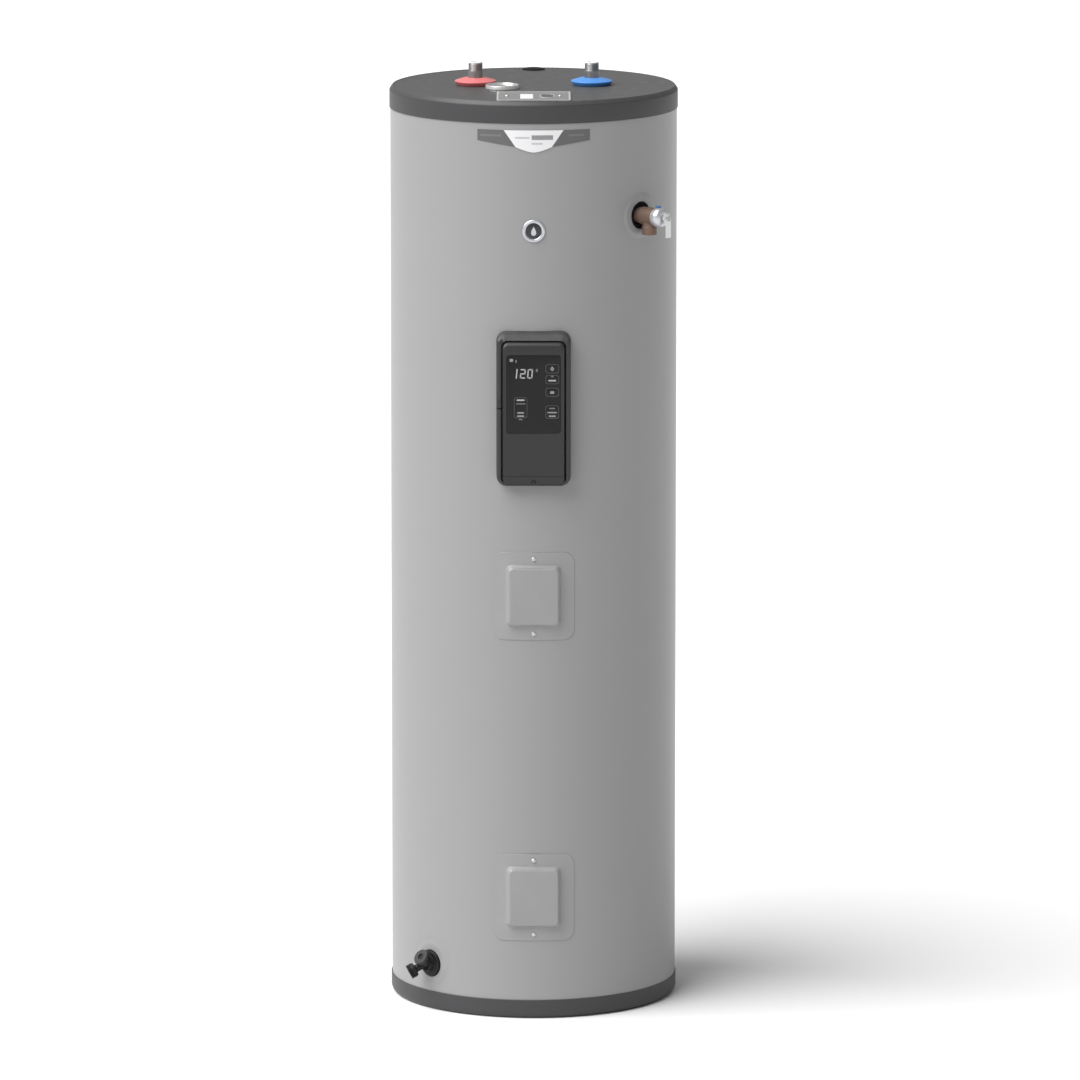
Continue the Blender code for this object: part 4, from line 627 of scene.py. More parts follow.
pan_outline = filleted([
    (0, face_z, 0), (PAN - 0.0088, face_z, 0.0012), (PAN - 0.0068, top_z, 0.0009),
    (PAN - 0.0052, top_z, 0.0020), (PAN, top_z - 0.0072, 0.0060),
    (PAN, pan_low.z, 0.0005), (PAN - PAN_SHEET, pan_low.z, 0.0005),
    (PAN - PAN_SHEET, top_z - 0.0068, 0.0040), (PAN - 0.0074, face_z - PAN_SHEET, 0.0010),
    (0, face_z - PAN_SHEET, 0),
])
pan_grain = finish("dark_moulded_plastic", (0.036, 0.036, 0.038), 0.50, fineness=1500.0, depth=0.000018,
                   spread=0.08, dust=0.16)
top_cover = show("top_cover", turned("top_cover", pan_outline, steps=224), pan_grain)
box_hole = skin("box_hole", [ring((box_high.x - box_low.x) / 2 + 0.0003,
                                  (box_high.y - box_low.y) / 2 + 0.0003,
                                  0.001, z, (box_high.y + box_low.y) / 2)
                             for z in (top_z - 0.02, top_z + 0.02)])
pan_holes = [rod(PIPE + HOLE_SPARE, top_z - 0.02, top_z + 0.02, Matrix.Translation((x, 0, 0)))
             for x in (-nipple_x, nipple_x)]
pan_holes.append(rod(ANODE_HOLE, top_z - 0.02, top_z + 0.02,
                     Matrix.Translation((anode_centre.x, anode_centre.y, 0))))
pan_holes.append(rod(PLUG_HOLE, top_z - 0.02, top_z + 0.02, Matrix.Translation((0, plug_y, 0))))
fit(carve(top_cover, box_hole, *pan_holes), "heater", "pan_plastic", "top_pan")


# The base tray is moulded in the same plastic. The jacket stands on its inner ledge, and its foot
# is tucked in with a round edge.
tray_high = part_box("bottom_pan")[1]
TRAY_FLOOR = 0.0025
TRAY_LEDGE = 0.0155
TRAY_TUCK = 0.0101
TRAY_CURVE = 0.0120
tray_outline = [(0, TRAY_FLOOR), (PAN - TRAY_TUCK - 0.0065, TRAY_FLOOR), (PAN - 0.0070, TRAY_LEDGE),
                (PAN - PAN_SHEET, TRAY_LEDGE), (PAN - PAN_SHEET, tray_high.z - 0.0004),
                (PAN - 0.0008, tray_high.z), (PAN - 0.0004, tray_high.z), (PAN, tray_high.z - 0.0005)]
for step in range(13):
    angle = step / 12 * math.pi / 2
    tray_outline.append((PAN - TRAY_TUCK * (1 - math.cos(angle)), TRAY_CURVE * (1 - math.sin(angle))))
tray_outline.append((0, 0))
fit(show("base_tray", turned("base_tray", tray_outline, steps=224), pan_grain),
    "heater", "pan_plastic", "bottom_pan")


# Two steel nipples stand up through the cover, threaded at the top, each with a plastic liner
# pushed into it. A snap-on plastic collar marks the hot side red and the cold side blue.
THREAD_PITCH = 0.00181
THREAD_DEPTH = 0.0008
THREAD_LENGTH = 0.0160
PIPE_BORE = 0.0101
LINER_WALL = 0.0016
LIP = 0.0020
COLLAR = (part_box("cold_collar")[1].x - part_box("cold_collar")[0].x) / 2


def thread_wave(top, outside, length=THREAD_LENGTH, pitch=THREAD_PITCH, depth=THREAD_DEPTH):
    """A wave that cuts a helical thread into the outside of a turned piece."""
    def wave(radius, height, turn):
        if radius < outside - depth * 1.01 or not top - length < height < top - 0.0009:
            return radius
        fade = ramp((height - top + length) / (3 * pitch))
        share = abs(((height / pitch - turn) % 1.0) - 0.5) * 2
        return radius - depth * fade * share
    return wave


nipple_steel = finish("zinc_plated_steel", (0.28, 0.275, 0.27), 0.38, metallic=0.85, lines=0.00002,
                      spread=0.15, dust=0.05)
liner_plastic = finish("white_liner_plastic", (0.78, 0.78, 0.75), 0.45, spread=0.03, dust=0.08)
collar_colours = {"hot": (0.64, 0.155, 0.160), "cold": (0.058, 0.235, 0.62)}
for side, x in (("hot", -nipple_x), ("cold", nipple_x)):
    place = Matrix.Translation((x, 0, 0))
    top, bottom = hot_high.z, hot_low.z
    end = top - LIP
    outline = [(PIPE_BORE, end), (PIPE - 0.0010, end)]
    rows = int(THREAD_LENGTH / THREAD_PITCH * 6)
    outline += [(PIPE, end - 0.0010 - THREAD_LENGTH * i / rows) for i in range(rows + 1)]
    outline += [(PIPE, bottom), (PIPE_BORE, bottom)]
    pipe = turned(f"{side}_pipe", outline, place, 48, thread_wave(end, PIPE))
    fit(show(f"{side}_pipe", pipe, nipple_steel), "heater", "steel", f"{side}_nipple")
    bore = PIPE_BORE - 0.0003
    liner = turned(f"{side}_liner", filleted([
        (bore - LINER_WALL, bottom, 0), (bore, bottom, 0), (bore, end + 0.0001, 0),
        (PIPE - 0.0003, end + 0.0001, 0.0004),
        (PIPE - 0.0006, top, 0.0012), (bore - LINER_WALL, top, 0.0010)]), place, 48)
    fit(show(f"{side}_liner", liner, liner_plastic), "heater", "white_plastic", f"{side}_nipple_liner")
    collar_low, collar_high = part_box(f"{side}_collar")
    base = collar_low.z
    collar = turned(f"{side}_dielectric_collar", filleted([
        (PIPE + 0.0003, base, 0), (COLLAR - 0.0048, base, 0.0004), (COLLAR, base + 0.0062, 0.0012),
        (COLLAR - 0.0004, base + 0.0076, 0.0012), (COLLAR * 0.57, collar_high.z - 0.0006, 0.0025),
        (PIPE + 0.0020, collar_high.z, 0.0004), (PIPE + 0.0003, collar_high.z, 0.0003)]), place, 96)
    dye = finish(f"{side}_collar_plastic", collar_colours[side], 0.40, fineness=1200.0, spread=0.05,
                 dust=0.10)
    fit(show(f"{side}_dielectric_collar", collar, dye), "heater",
        "red_plastic" if side == "hot" else "blue_plastic", f"{side}_collar")


# A pressed bright cap covers the hole over the anode. It is a shallow cup with a grey gasket floor.
cap_place = Matrix.Translation((anode_centre.x, anode_centre.y, 0))
cap_base = face_z + 0.0003
CAP_RADIUS = (anode_high.x - anode_low.x) / 2
cap_metal = finish("bright_cap_metal", (0.72, 0.72, 0.71), 0.30, metallic=0.7, lines=0.00001, spread=0.12,
                   dust=0.06)
cap_outline = filleted([
    (0, cap_base + 0.0015, 0), (CAP_RADIUS - 0.0048, cap_base + 0.0015, 0.0006),
    (CAP_RADIUS - 0.0032, anode_high.z - 0.0002, 0.0008), (CAP_RADIUS - 0.0012, anode_high.z, 0.0010),
    (CAP_RADIUS, cap_base, 0.0004), (ANODE_HOLE - 0.0003, cap_base, 0),
    (ANODE_HOLE - 0.0003, anode_low.z, 0.0005), (0, anode_low.z, 0)])
fit(show("anode_access_cap", turned("anode_access_cap", cap_outline, cap_place, 96), cap_metal),
    "heater", "chrome", "anode_cap")
gasket_grey = finish("cap_floor_gasket", (0.17, 0.17, 0.175), 0.6, spread=0.15, dust=0.25)
gasket = turned("anode_cap_gasket", filleted([
    (0, cap_base + 0.0016, 0), (CAP_RADIUS - 0.0056, cap_base + 0.0016, 0),
    (CAP_RADIUS - 0.0060, cap_base + 0.0022, 0.0003), (0, cap_base + 0.0022, 0)]), cap_place, 64)
fit(show("anode_cap_gasket", gasket, gasket_grey), "heater", "black_plastic")


# A push-in plug of black plastic closes the hole near the rear rim.
plug_black = finish("black_plug_plastic", (0.008, 0.008, 0.008), 0.6, spread=0.2, dust=0.01, specular=0.12)
PLUG_RADIUS = plug_high.x
plug = turned("rear_button_plug", filleted([
    (0, plug_high.z, 0), (PLUG_RADIUS - 0.0060, plug_high.z - 0.0002, 0.004),
    (PLUG_RADIUS, face_z + 0.0010, 0.0012), (PLUG_RADIUS, face_z + 0.0003, 0),
    (PLUG_HOLE - 0.0003, face_z + 0.0003, 0), (PLUG_HOLE - 0.0003, plug_low.z, 0.0006),
    (0, plug_low.z, 0)]), Matrix.Translation((0, plug_y, 0)), 64)
fit(show("rear_button_plug", plug, plug_black), "heater", "black_plastic", "rear_plug")


# A steel plate with two screws covers the wiring box. It carries a blank white sticker and a closed knock-out
#  with a raised lip. The bright bands round the plate's edge and the knock-out's lip are painted highlight,
#  and the knock-out's dark face is painted shadow.
cover_low, cover_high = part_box("junction_cover")
cover_y = (cover_low.y + cover_high.y) / 2
screw_low, screw_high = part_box("junction_screw_right")
junction_screw_x = (screw_low.x + screw_high.x) / 2
SCREW_SHANK = 0.0017
SCREW_HEAD = 0.0038
plate_steel = finish("galvanised_plate", (0.30, 0.30, 0.30), 0.42, metallic=0.55, lines=0.00001,
                     spread=0.25, dust=0.15)
sticker_white = finish("white_sticker", (0.80, 0.80, 0.80), 0.45, spread=0.03, dust=0.03)
# Painted shadow: the closed knock-out is coloured dark as if it were an open hole in shade.
knockout_painted_shadow = finish("knockout_shadow", (0.09, 0.09, 0.09), 0.5, metallic=0.3, spread=0.2, dust=0.1)
# Painted highlight: a bright copy of the plate's steel, laid as bands along its edges.
edge_highlight_paint = finish("painted_edge_highlight", (0.75, 0.75, 0.74), 0.35, metallic=0.6, spread=0.15, dust=0.05)
place = Matrix.Translation((0, cover_y, 0))
half_cover = ((cover_high.x - cover_low.x) / 2, (cover_high.y - cover_low.y) / 2)
cover = show("junction_plate", plate("junction_plate", *half_cover, 0.004, cover_low.z, cover_high.z,
                                     0.0004, place), plate_steel)
carve(cover, *[rod(SCREW_SHANK + 0.0003, top_z - 0.02, top_z + 0.02, Matrix.Translation((x, cover_y, 0)), 24)
               for x in (-junction_screw_x, junction_screw_x)])
fit(cover, "heater", "steel", "junction_cover")


def band(name, half_width, half_height, corner, width, low, high, place):
    """A flat rounded-rectangle ring."""
    loops = [ring(half_width, half_height, corner, low), ring(half_width, half_height, corner, high),
             ring(half_width - width, half_height - width, corner - width, high),
             ring(half_width - width, half_height - width, corner - width, low)]
    return skin(name, loops, place, hollow=True)


# Painted highlight band round the plate's edge.
lip = band("junction_plate_lip", half_cover[0] - 0.0002, half_cover[1] - 0.0002, 0.004, 0.0030,
           cover_high.z, cover_high.z + 0.0006, place)
fit(show("junction_plate_lip", lip, edge_highlight_paint), "heater", "steel")
patches = (("cover_sticker", -0.0120, -0.1780, 0.0110, 0.0310, 0.002, sticker_white, 0.0002),
           ("knockout", 0.0235, -0.1740, 0.0105, 0.0210, 0.008, knockout_painted_shadow, 0.0003))
for name, x, y, half_width, half_height, corner, material, rise in patches:
    patch = plate(name, half_width, half_height, corner, cover_high.z, cover_high.z + rise, 0.0001,
                  Matrix.Translation((x, y, 0)))
    fit(show(name, patch, material), "heater", "label_white" if material == sticker_white else "steel")
# Painted highlight band round the knock-out.
lip = band("knockout_lip", 0.0125, 0.0230, 0.0100, 0.0016, cover_high.z, cover_high.z + 0.0008,
           Matrix.Translation((0.0235, -0.1740, 0)))
fit(show("knockout_lip", lip, edge_highlight_paint), "heater", "steel")


def small_screw(name, node, place, material, flat=0.0022):
    """A pan-head screw with a cross recess and a threaded shank; its head sits on local Z zero."""
    length = 0.0078
    outline = filleted([(0, flat, 0), (SCREW_HEAD * 0.72, flat, 0.0012), (SCREW_HEAD, 0.0008, 0.0007),
                        (SCREW_HEAD, 0, 0.0002), (SCREW_SHANK, 0, 0)], 4)
    outline += [(SCREW_SHANK, -0.0002 * i) for i in range(1, 34)]
    outline += [(0.0004, -length), (0, -length)]
    wave = thread_wave(-0.0006, SCREW_SHANK, 0.0064, 0.0009, 0.0003)
    screw = show(name, turned(name, outline, steps=32, wave=wave), material)
    slots = [skin("slot", [ring(0.0021 if turn else 0.00045, 0.00045 if turn else 0.0021, 0.0002, z)
                           for z in (flat - 0.0011, flat + 0.001)]) for turn in (0, 1)]
    carve(screw, *slots)
    screw.data.transform(place)
    return fit(screw, "heater", "steel", node)


screw_steel = finish("zinc_screw_steel", (0.62, 0.62, 0.61), 0.32, metallic=0.9, lines=0.00001, spread=0.2,
                     dust=0.05)
for side, x in (("left", -junction_screw_x), ("right", junction_screw_x)):
    small_screw(f"{side}_cover_plate_screw", f"junction_screw_{side}",
                Matrix.Translation((x, cover_y, cover_high.z)), screw_steel)


# Each access cover is a pressed sheet that follows the jacket, with a flat raised centre, painted
# with the jacket and held by two screws. A loose pad of insulation lies behind it.
FRONT = Matrix.Rotation(math.pi / 2, 4, "X")
COVER_SHEET = 0.0008
BULGE = (0.0465, 0.0530, 0.0090)
BULGE_DRAFT = 0.0030
BULGE_EDGE = 0.0022
BULGE_FOOT = 0.0030


def around(radius):
    """A depth that follows a cylinder of that radius round the heater's axis."""
    return lambda across, up: math.sqrt(radius**2 - across**2)


cover_paint = jacket_paint
for side in ("upper", "lower"):
    low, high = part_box(f"{side}_access_cover")
    middle = (low.z + high.z) / 2
    half = ((high.x - low.x) / 2, (high.z - low.z) / 2)
    corner = 0.0190
    under, over = JACKET + 0.0003, JACKET + 0.0003 + COVER_SHEET
    front = -low.y
    shape = dict(lift=middle, steps=8, side=14)
    half_bulge_w, half_bulge_h, bulge_corner = BULGE

    def bulge_ring(inset, depth, spare=0.0):
        return ring(half_bulge_w - inset - spare, half_bulge_h - inset - spare,
                    bulge_corner - inset * 0.5 - spare, depth, **shape)

    def blend_depth(share, radius, flat):
        return lambda across, up: (1 - share) * math.sqrt(radius**2 - across**2) + share * flat

    loops = []
    for inset, radius in ((0.0, under), (0.0, over - 0.0004), (0.0004, over)):
        loops.append(ring(half[0] - inset, half[1] - inset, corner - inset, around(radius), **shape))
    loops.append(bulge_ring(-BULGE_FOOT, around(over)))
    for step in range(1, 4):
        angle = step / 3 * math.pi / 2
        loops.append(bulge_ring(-BULGE_FOOT * (1 - math.sin(angle)),
                                blend_depth(0.25 * (1 - math.cos(angle)), over, front)))
    loops.append(bulge_ring(BULGE_DRAFT * 0.7, blend_depth(0.72, over, front)))
    for step in range(5):
        angle = step / 4 * math.pi / 2
        loops.append(bulge_ring(BULGE_DRAFT + BULGE_EDGE * (1 - math.cos(angle)),
                                front - BULGE_EDGE * (1 - math.sin(angle))))
    back = front - COVER_SHEET
    inside = [ring(half[0], half[1], corner, around(under), **shape),
              bulge_ring(0.0, around(under), COVER_SHEET),
              bulge_ring(BULGE_DRAFT + BULGE_EDGE, back, COVER_SHEET)]
    name = f"{side}_pressed_cover"
    cover = show(name, skin(name, inside[:0:-1] + loops, FRONT, crease=50), cover_paint)
    holes = [rod(SCREW_SHANK + 0.0003, 0.20, 0.30, Matrix.Translation((0, 0, sum(
        c.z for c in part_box(f"{side}_cover_screw_{end}")) / 2)) @ FRONT, 24) for end in ("top", "bottom")]
    fit(carve(cover, *holes), "heater", "jacket_paint", f"{side}_access_cover")
    for end in ("top", "bottom"):
        node = f"{side}_cover_screw_{end}"
        z = sum(c.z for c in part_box(node)) / 2
        small_screw(f"{side}_{end}_cover_screw", node, Matrix.Translation((0, -over, z)) @ FRONT,
                    screw_steel)

foam_yellow = finish("pale_insulation_foam", (0.78, 0.66, 0.36), 0.95, fineness=260.0, depth=0.0009,
                     spread=0.18)
for side in ("upper", "lower"):
    low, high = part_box(f"{side}_foam_pad")
    half = ((high.x - low.x) / 2, (high.z - low.z) / 2)
    pad = plate(f"{side}_insulation_pad", *half, 0.006, -high.y, -low.y, 0.0030, FRONT, (low.z + high.z) / 2)
    pad = fit(show(f"{side}_insulation_pad", pad, foam_yellow), "heater", "foam", f"{side}_foam_pad")


# The control's housing is a moulded frame that stands on the jacket. Its top slopes back, a deep
# groove runs round the fascia, and its left side has a notch for a latch.
housing_low, housing_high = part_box("control_housing")
fascia_low, fascia_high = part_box("control_fascia")
GROOVE = 0.00175
HOUSING_WALL = 0.0025
HOUSING_EDGE = 0.0050
HOUSING_ROUND = 0.0060
TOP_SLOPE = 0.0125
LATCH_NOTCH = (0.0022, 0.0040)
latch_z = housing_low.z + 0.507 * (housing_high.z - housing_low.z)
housing_half = ((housing_high.x - housing_low.x) / 2, (housing_high.z - housing_low.z) / 2)
housing_middle = (housing_high.z + housing_low.z) / 2
housing_front = -housing_low.y
open_top, open_bottom = fascia_high.z + GROOVE, housing_low.z + HOUSING_WALL
open_half = ((fascia_high.x - fascia_low.x) / 2 + GROOVE, (open_top - open_bottom) / 2)
open_middle = (open_top + open_bottom) / 2


def housing_face(set_back):
    """The housing's front, which slopes back above the fascia."""
    def depth(across, up):
        rise = max(up - open_top, 0.0) / (housing_high.z - open_top)
        return housing_front - TOP_SLOPE * rise - set_back
    return depth


def housing_ring(inset, depth):
    return ring(housing_half[0] - inset, housing_half[1] - inset, 0.0180 - inset, depth,
                lift=housing_middle, steps=8, side=10)


def opening_ring(outset, depth):
    return ring(open_half[0] + outset, open_half[1] + outset, 0.0118 + outset, depth,
                lift=open_middle, steps=8, side=10)


loops = [housing_ring(0, around(JACKET + 0.0003))]
for step in range(6):
    angle = step / 5 * math.pi / 2
    loops.append(housing_ring(0.0004 + HOUSING_ROUND * (1 - math.cos(angle)),
                              housing_face(HOUSING_EDGE * (1 - math.sin(angle)))))
for step in range(4):
    angle = step / 3 * math.pi / 2
    loops.append(opening_ring(0.0007 * (1 - math.sin(angle)), housing_face(0.0007 * (1 - math.cos(angle)))))
loops += [opening_ring(0, housing_face(HOUSING_WALL)),
          housing_ring(HOUSING_WALL, housing_face(HOUSING_WALL + 0.002)),
          housing_ring(HOUSING_WALL, around(JACKET + 0.0003))]
housing_plastic = finish("dark_control_plastic", (0.022, 0.022, 0.024), 0.42, fineness=1600.0,
                         depth=0.000018, spread=0.06, dust=0.10)
housing = show("control_frame", skin("control_frame", loops, FRONT, hollow=True), housing_plastic)
notch_height, notch_depth = LATCH_NOTCH
left_side = Matrix.Translation((-housing_half[0], 0, 0)) @ FRONT
notch = skin("notch", [ring(0.0110, notch_height / 2, 0.0003, z, lift=latch_z)
                       for z in (housing_front - notch_depth, housing_front + 0.01)], left_side)
fit(carve(housing, notch), "heater", "control_plastic", "control_housing")
latch = plate("latch_key", 0.0030, 0.0075, 0.0010, housing_front - 0.002, housing_front + 0.0004, 0.0003,
              Matrix.Translation((-housing_half[0] + 0.0046, 0, 0)) @ FRONT, latch_z + 0.0098)
fit(show("latch_key", latch, housing_plastic), "heater", "black_plastic")


# The fascia is a moulded cover with a bevelled top edge. It has a recess for the display window and
# one screw at its foot, and a faint line above the screw.
FASCIA_DEPTH = 0.0140
FASCIA_BEVEL = 0.0064
FASCIA_SIDE = 0.0016
WINDOW_CORNER = 0.0050
FOOT_LINE = 0.0149
fascia_half = ((fascia_high.x - fascia_low.x) / 2, (fascia_high.z - fascia_low.z) / 2)
fascia_middle = (fascia_high.z + fascia_low.z) / 2
fascia_front = -fascia_low.y
window_low, window_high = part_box("display_window")
window_half = ((window_high.x - window_low.x) / 2, (window_high.z - window_low.z) / 2)
window_middle = (window_high.z + window_low.z) / 2
screw_low, screw_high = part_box("control_screw")
control_screw_z = (screw_low.z + screw_high.z) / 2


def fascia_ring(share, depth):
    """A loop between the fascia's edge, at share 0, and the edge of its flat front, at share 1."""
    return ring(fascia_half[0] - FASCIA_SIDE * share,
                fascia_half[1] - (FASCIA_BEVEL + FASCIA_SIDE) / 2 * share, 0.0100 - 0.0012 * share, depth,
                lift=fascia_middle - (FASCIA_BEVEL - FASCIA_SIDE) / 2 * share, steps=8)


def window_ring(outset, depth):
    return ring(window_half[0] + outset, window_half[1] + outset, WINDOW_CORNER + outset, depth,
                lift=window_middle, steps=8)


loops = [fascia_ring(0, fascia_front - FASCIA_DEPTH), fascia_ring(0, fascia_front - 0.0054),
         fascia_ring(0.06, fascia_front - 0.0048), fascia_ring(0.94, fascia_front - 0.0003),
         fascia_ring(1.06, fascia_front), window_ring(0.0004, fascia_front),
         window_ring(0.0003, fascia_front - 0.0001), window_ring(0.0003, fascia_front - 0.0026),
         window_ring(-0.0015, fascia_front - 0.0026), window_ring(-0.0015, fascia_front - 0.0035),
         ring(fascia_half[0] - 0.0020, fascia_half[1] - 0.0020, 0.0080, fascia_front - 0.0040,
              lift=fascia_middle, steps=8),
         ring(fascia_half[0] - 0.0020, fascia_half[1] - 0.0020, 0.0080, fascia_front - FASCIA_DEPTH,
              lift=fascia_middle, steps=8)]
fascia_plastic = finish("fascia_plastic", (0.016, 0.016, 0.017), 0.46, fineness=1600.0, depth=0.000016,
                        spread=0.06, dust=0.06)
fascia = show("control_cover", skin("control_cover", loops, FRONT, hollow=True, crease=25), fascia_plastic)
foot_line = skin("foot_line", [ring(fascia_half[0] + 0.002, 0.0005, 0.0001, z, lift=fascia_low.z + FOOT_LINE)
                               for z in (fascia_front - 0.0009, fascia_front + 0.01)], FRONT)
screw_place = Matrix.Translation((0, 0, control_screw_z)) @ FRONT
fit(carve(fascia, rod(SCREW_HEAD + 0.0003, fascia_front - 0.0024, fascia_front + 0.01, screw_place),
          rod(SCREW_SHANK + 0.0003, fascia_front - 0.02, fascia_front + 0.01, screw_place, 24), foot_line),
    "heater", "control_plastic", "control_fascia")
screw_black = finish("blackened_screw", (0.05, 0.05, 0.05), 0.45, metallic=0.7, spread=0.2)
small_screw("control_cover_screw", "control_screw",
            Matrix.Translation((0, -(fascia_front - 0.0024), control_screw_z)) @ FRONT, screw_black, 0.0018)


# The display window is smoked glossy plastic with five keys let into it. The keys' outlines, the
#  plain bars that stand for their words, and the lit numbers are printed on or shine through. The faint
#  glow given to the printed bars is painted light.
KEY_CORNER = 0.0040
INK = 0.00008
window_plastic = finish("smoked_window", (0.009, 0.009, 0.010), 0.30, fineness=500.0, depth=0.000004,
                        spread=0.08, dust=0.02, specular=0.26)
window = show("smoked_display", plate("smoked_display", *window_half, WINDOW_CORNER, -window_high.y,
                                      -window_low.y, 0.0003, FRONT, window_middle), window_plastic)
key_boxes = {name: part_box(f"key_{name}") for name in ("plus", "minus", "units", "mode", "hold")}


def middle_of(box):
    return (box[0] + box[1]) / 2


def half_of(box):
    return (box[1].x - box[0].x) / 2, (box[1].z - box[0].z) / 2


holes = []
for box in key_boxes.values():
    half = half_of(box)
    place = Matrix.Translation((middle_of(box).x, 0, 0)) @ FRONT
    holes.append(skin("hole", [ring(half[0] + 0.0003, half[1] + 0.0003, KEY_CORNER, z, middle_of(box).z)
                               for z in (0.25, 0.29)], place))
fit(carve(window, *holes), "heater", "display_gloss", "display_window")


def lit(name, colour, strength):
    """A printed or lit mark: a plain finish that also glows a little; on printed marks the glow is painted
    light.
    """
    made = finish(name, colour, 0.5, spread=0.15)
    shader = made.node_tree.nodes["Principled BSDF"]
    shader.inputs["Emission Color"].default_value = (*colour, 1.0)
    shader.inputs["Emission Strength"].default_value = strength
    return made


lit_white = lit("lit_white", (0.33, 0.33, 0.33), 0.10)
# Printed marks with a faint glow: the glow is painted light.
print_bright_painted_glow = lit("print_bright_painted_glow", (0.235, 0.235, 0.235), 0.04)
print_grey_painted_glow = lit("print_grey_painted_glow", (0.125, 0.125, 0.125), 0.02)
print_faint = lit("print_faint", (0.070, 0.070, 0.070), 0.0)


def bars(name, marks, depth, material, body):
    """Flat marks given as (across, up, half width, half height, lean), raised by a film of ink."""
    bm = bmesh.new()
    for across, up, half_width, half_height, lean in marks:
        corner = min(half_width, half_height) * 0.5
        loops = [ring(half_width, half_height, corner, z, steps=2) for z in (depth, depth + INK)]
        rows = [[bm.verts.new((across + p.x + lean * p.y, up + p.y, p.z)) for p in loop] for loop in loops]
        bm.faces.new(rows[0])
        bm.faces.new(rows[1])
        for i in range(len(rows[0])):
            j = (i + 1) % len(rows[0])
            bm.faces.new((rows[0][i], rows[0][j], rows[1][j], rows[1][i]))
    mesh = solid(name, bm)
    mesh.transform(FRONT)
    return fit(show(name, mesh, material), body, "display_gloss")


for name, box in key_boxes.items():
    low, high = box
    half = half_of(box)
    body = f"key_{name}"
    place = Matrix.Translation((middle_of(box).x, 0, 0)) @ FRONT
    cap = show(f"{name}_key_cap", plate(f"{name}_key_cap", *half, KEY_CORNER, -low.y - 0.0024, -low.y,
                                        0.0003, place, middle_of(box).z), window_plastic)
    key_place = Matrix.Translation(middle_of(box) * Vector((1, 0, 1))) @ FRONT
    stem = rod(0.0020, -high.y, -low.y - 0.0020, key_place, 24)
    fit(carve(cap, stem, operation="UNION"), body, "display_gloss", body)
    outline = skin(f"{name}_key_outline", [
        ring(half[0] - inset, half[1] - inset, KEY_CORNER, z, middle_of(box).z)
        for inset, z in ((0.0004, -low.y), (0.0004, -low.y + INK), (0.0012, -low.y + INK), (0.0012, -low.y))
    ], place, hollow=True)
    fit(show(f"{name}_key_outline", outline, print_faint), body, "display_gloss")

key_face = -key_boxes["plus"][0].y
plus, minus, units, mode, hold = (middle_of(key_boxes[name])
                                  for name in ("plus", "minus", "units", "mode", "hold"))
bars("plus_mark", [(plus.x, plus.z, 0.0030, 0.0014, 0), (plus.x, plus.z, 0.0014, 0.0034, 0)],
     key_face, lit_white, "key_plus")
bars("minus_mark", [(minus.x, minus.z - 0.0017, 0.0065, 0.0013, 0)], key_face, lit_white, "key_minus")
bars("minus_word", [(minus.x, minus.z + 0.0058, 0.0020, 0.0013, 0)], key_face, print_grey_painted_glow, "key_minus")
bars("units_mark", [(units.x - 0.0001, units.z - 0.0004, 0.0034, 0.0022, 0)], key_face, print_bright_painted_glow,
     "key_units")
bars("mode_title", [(mode.x, mode.z + 0.0133, 0.0068, 0.0013, 0)], key_face, lit_white, "key_mode")
bars("mode_words", [(mode.x, mode.z - 0.0089, 0.0058, 0.0013, 0),
                    (mode.x, mode.z - 0.0147, 0.0062, 0.0013, 0)],
     key_face, print_bright_painted_glow, "key_mode")
bars("mode_hint", [(mode.x + 0.0004, mode.z + 0.0069, 0.0078, 0.0010, 0)], key_face, print_grey_painted_glow, "key_mode")
bars("hold_words", [(hold.x, hold.z - 0.0009, 0.0082, 0.0011, 0),
                    (hold.x, hold.z - 0.0073, 0.0060, 0.0013, 0)],
     key_face, print_bright_painted_glow, "key_hold")
bars("hold_title", [(hold.x, hold.z + 0.0063, 0.0050, 0.0012, 0)], key_face, print_grey_painted_glow, "key_hold")
window_face = -window_low.y
bars("mode_foot_word", [(mode.x, mode.z - 0.0205, 0.0034, 0.0011, 0)], window_face, print_grey_painted_glow, "heater")
left_edge = window_low.x
bars("signal_mark", [(left_edge + 0.0085, window_high.z - 0.0088, 0.0030, 0.0026, 0)],
     window_face, print_bright_painted_glow, "heater")
bars("signal_word", [(left_edge + 0.0166, window_high.z - 0.0106, 0.0013, 0.0026, 0)],
     window_face, print_grey_painted_glow, "heater")

# The numbers are seven-bar digits that lean a little.
DIGIT_WIDTH = 0.0094
DIGIT_HEIGHT = 0.0168
DIGIT_STROKE = 0.0022
DIGIT_STEP = 0.0125
DIGIT_LEAN = 0.08
digit_row = window_high.z - 0.0323
digit_start = left_edge + 0.0176
SEGMENTS = {"1": "bc", "2": "abged", "0": "abcdef"}
half_height, half_width, half_stroke = DIGIT_HEIGHT / 2, DIGIT_WIDTH / 2, DIGIT_STROKE / 2
places = {"a": (0, 1), "g": (0, 0), "d": (0, -1), "f": (-1, 1), "b": (1, 1), "e": (-1, -1), "c": (1, -1)}
strokes = []
for number, digit in enumerate("120"):
    centre = digit_start + number * DIGIT_STEP - (0.0018 if digit != "1" else 0.0035)
    for segment in SEGMENTS[digit]:
        side, level = places[segment]
        if side == 0:
            up = level * (half_height - half_stroke)
            strokes.append((centre + DIGIT_LEAN * up, digit_row + up, half_width - 0.0003, half_stroke,
                            DIGIT_LEAN))
        else:
            up = level * half_height / 2
            across = side * (half_width - half_stroke)
            strokes.append((centre + across + DIGIT_LEAN * up, digit_row + up, half_stroke,
                            half_height / 2 - 0.0001,
                            DIGIT_LEAN))
bars("lit_number", strokes, window_face, lit_white, "heater")
bars("degree_mark", [(left_edge + 0.0525, digit_row + 0.0060, 0.0016, 0.0026, 0)], window_face, print_grey_painted_glow,
     "heater")


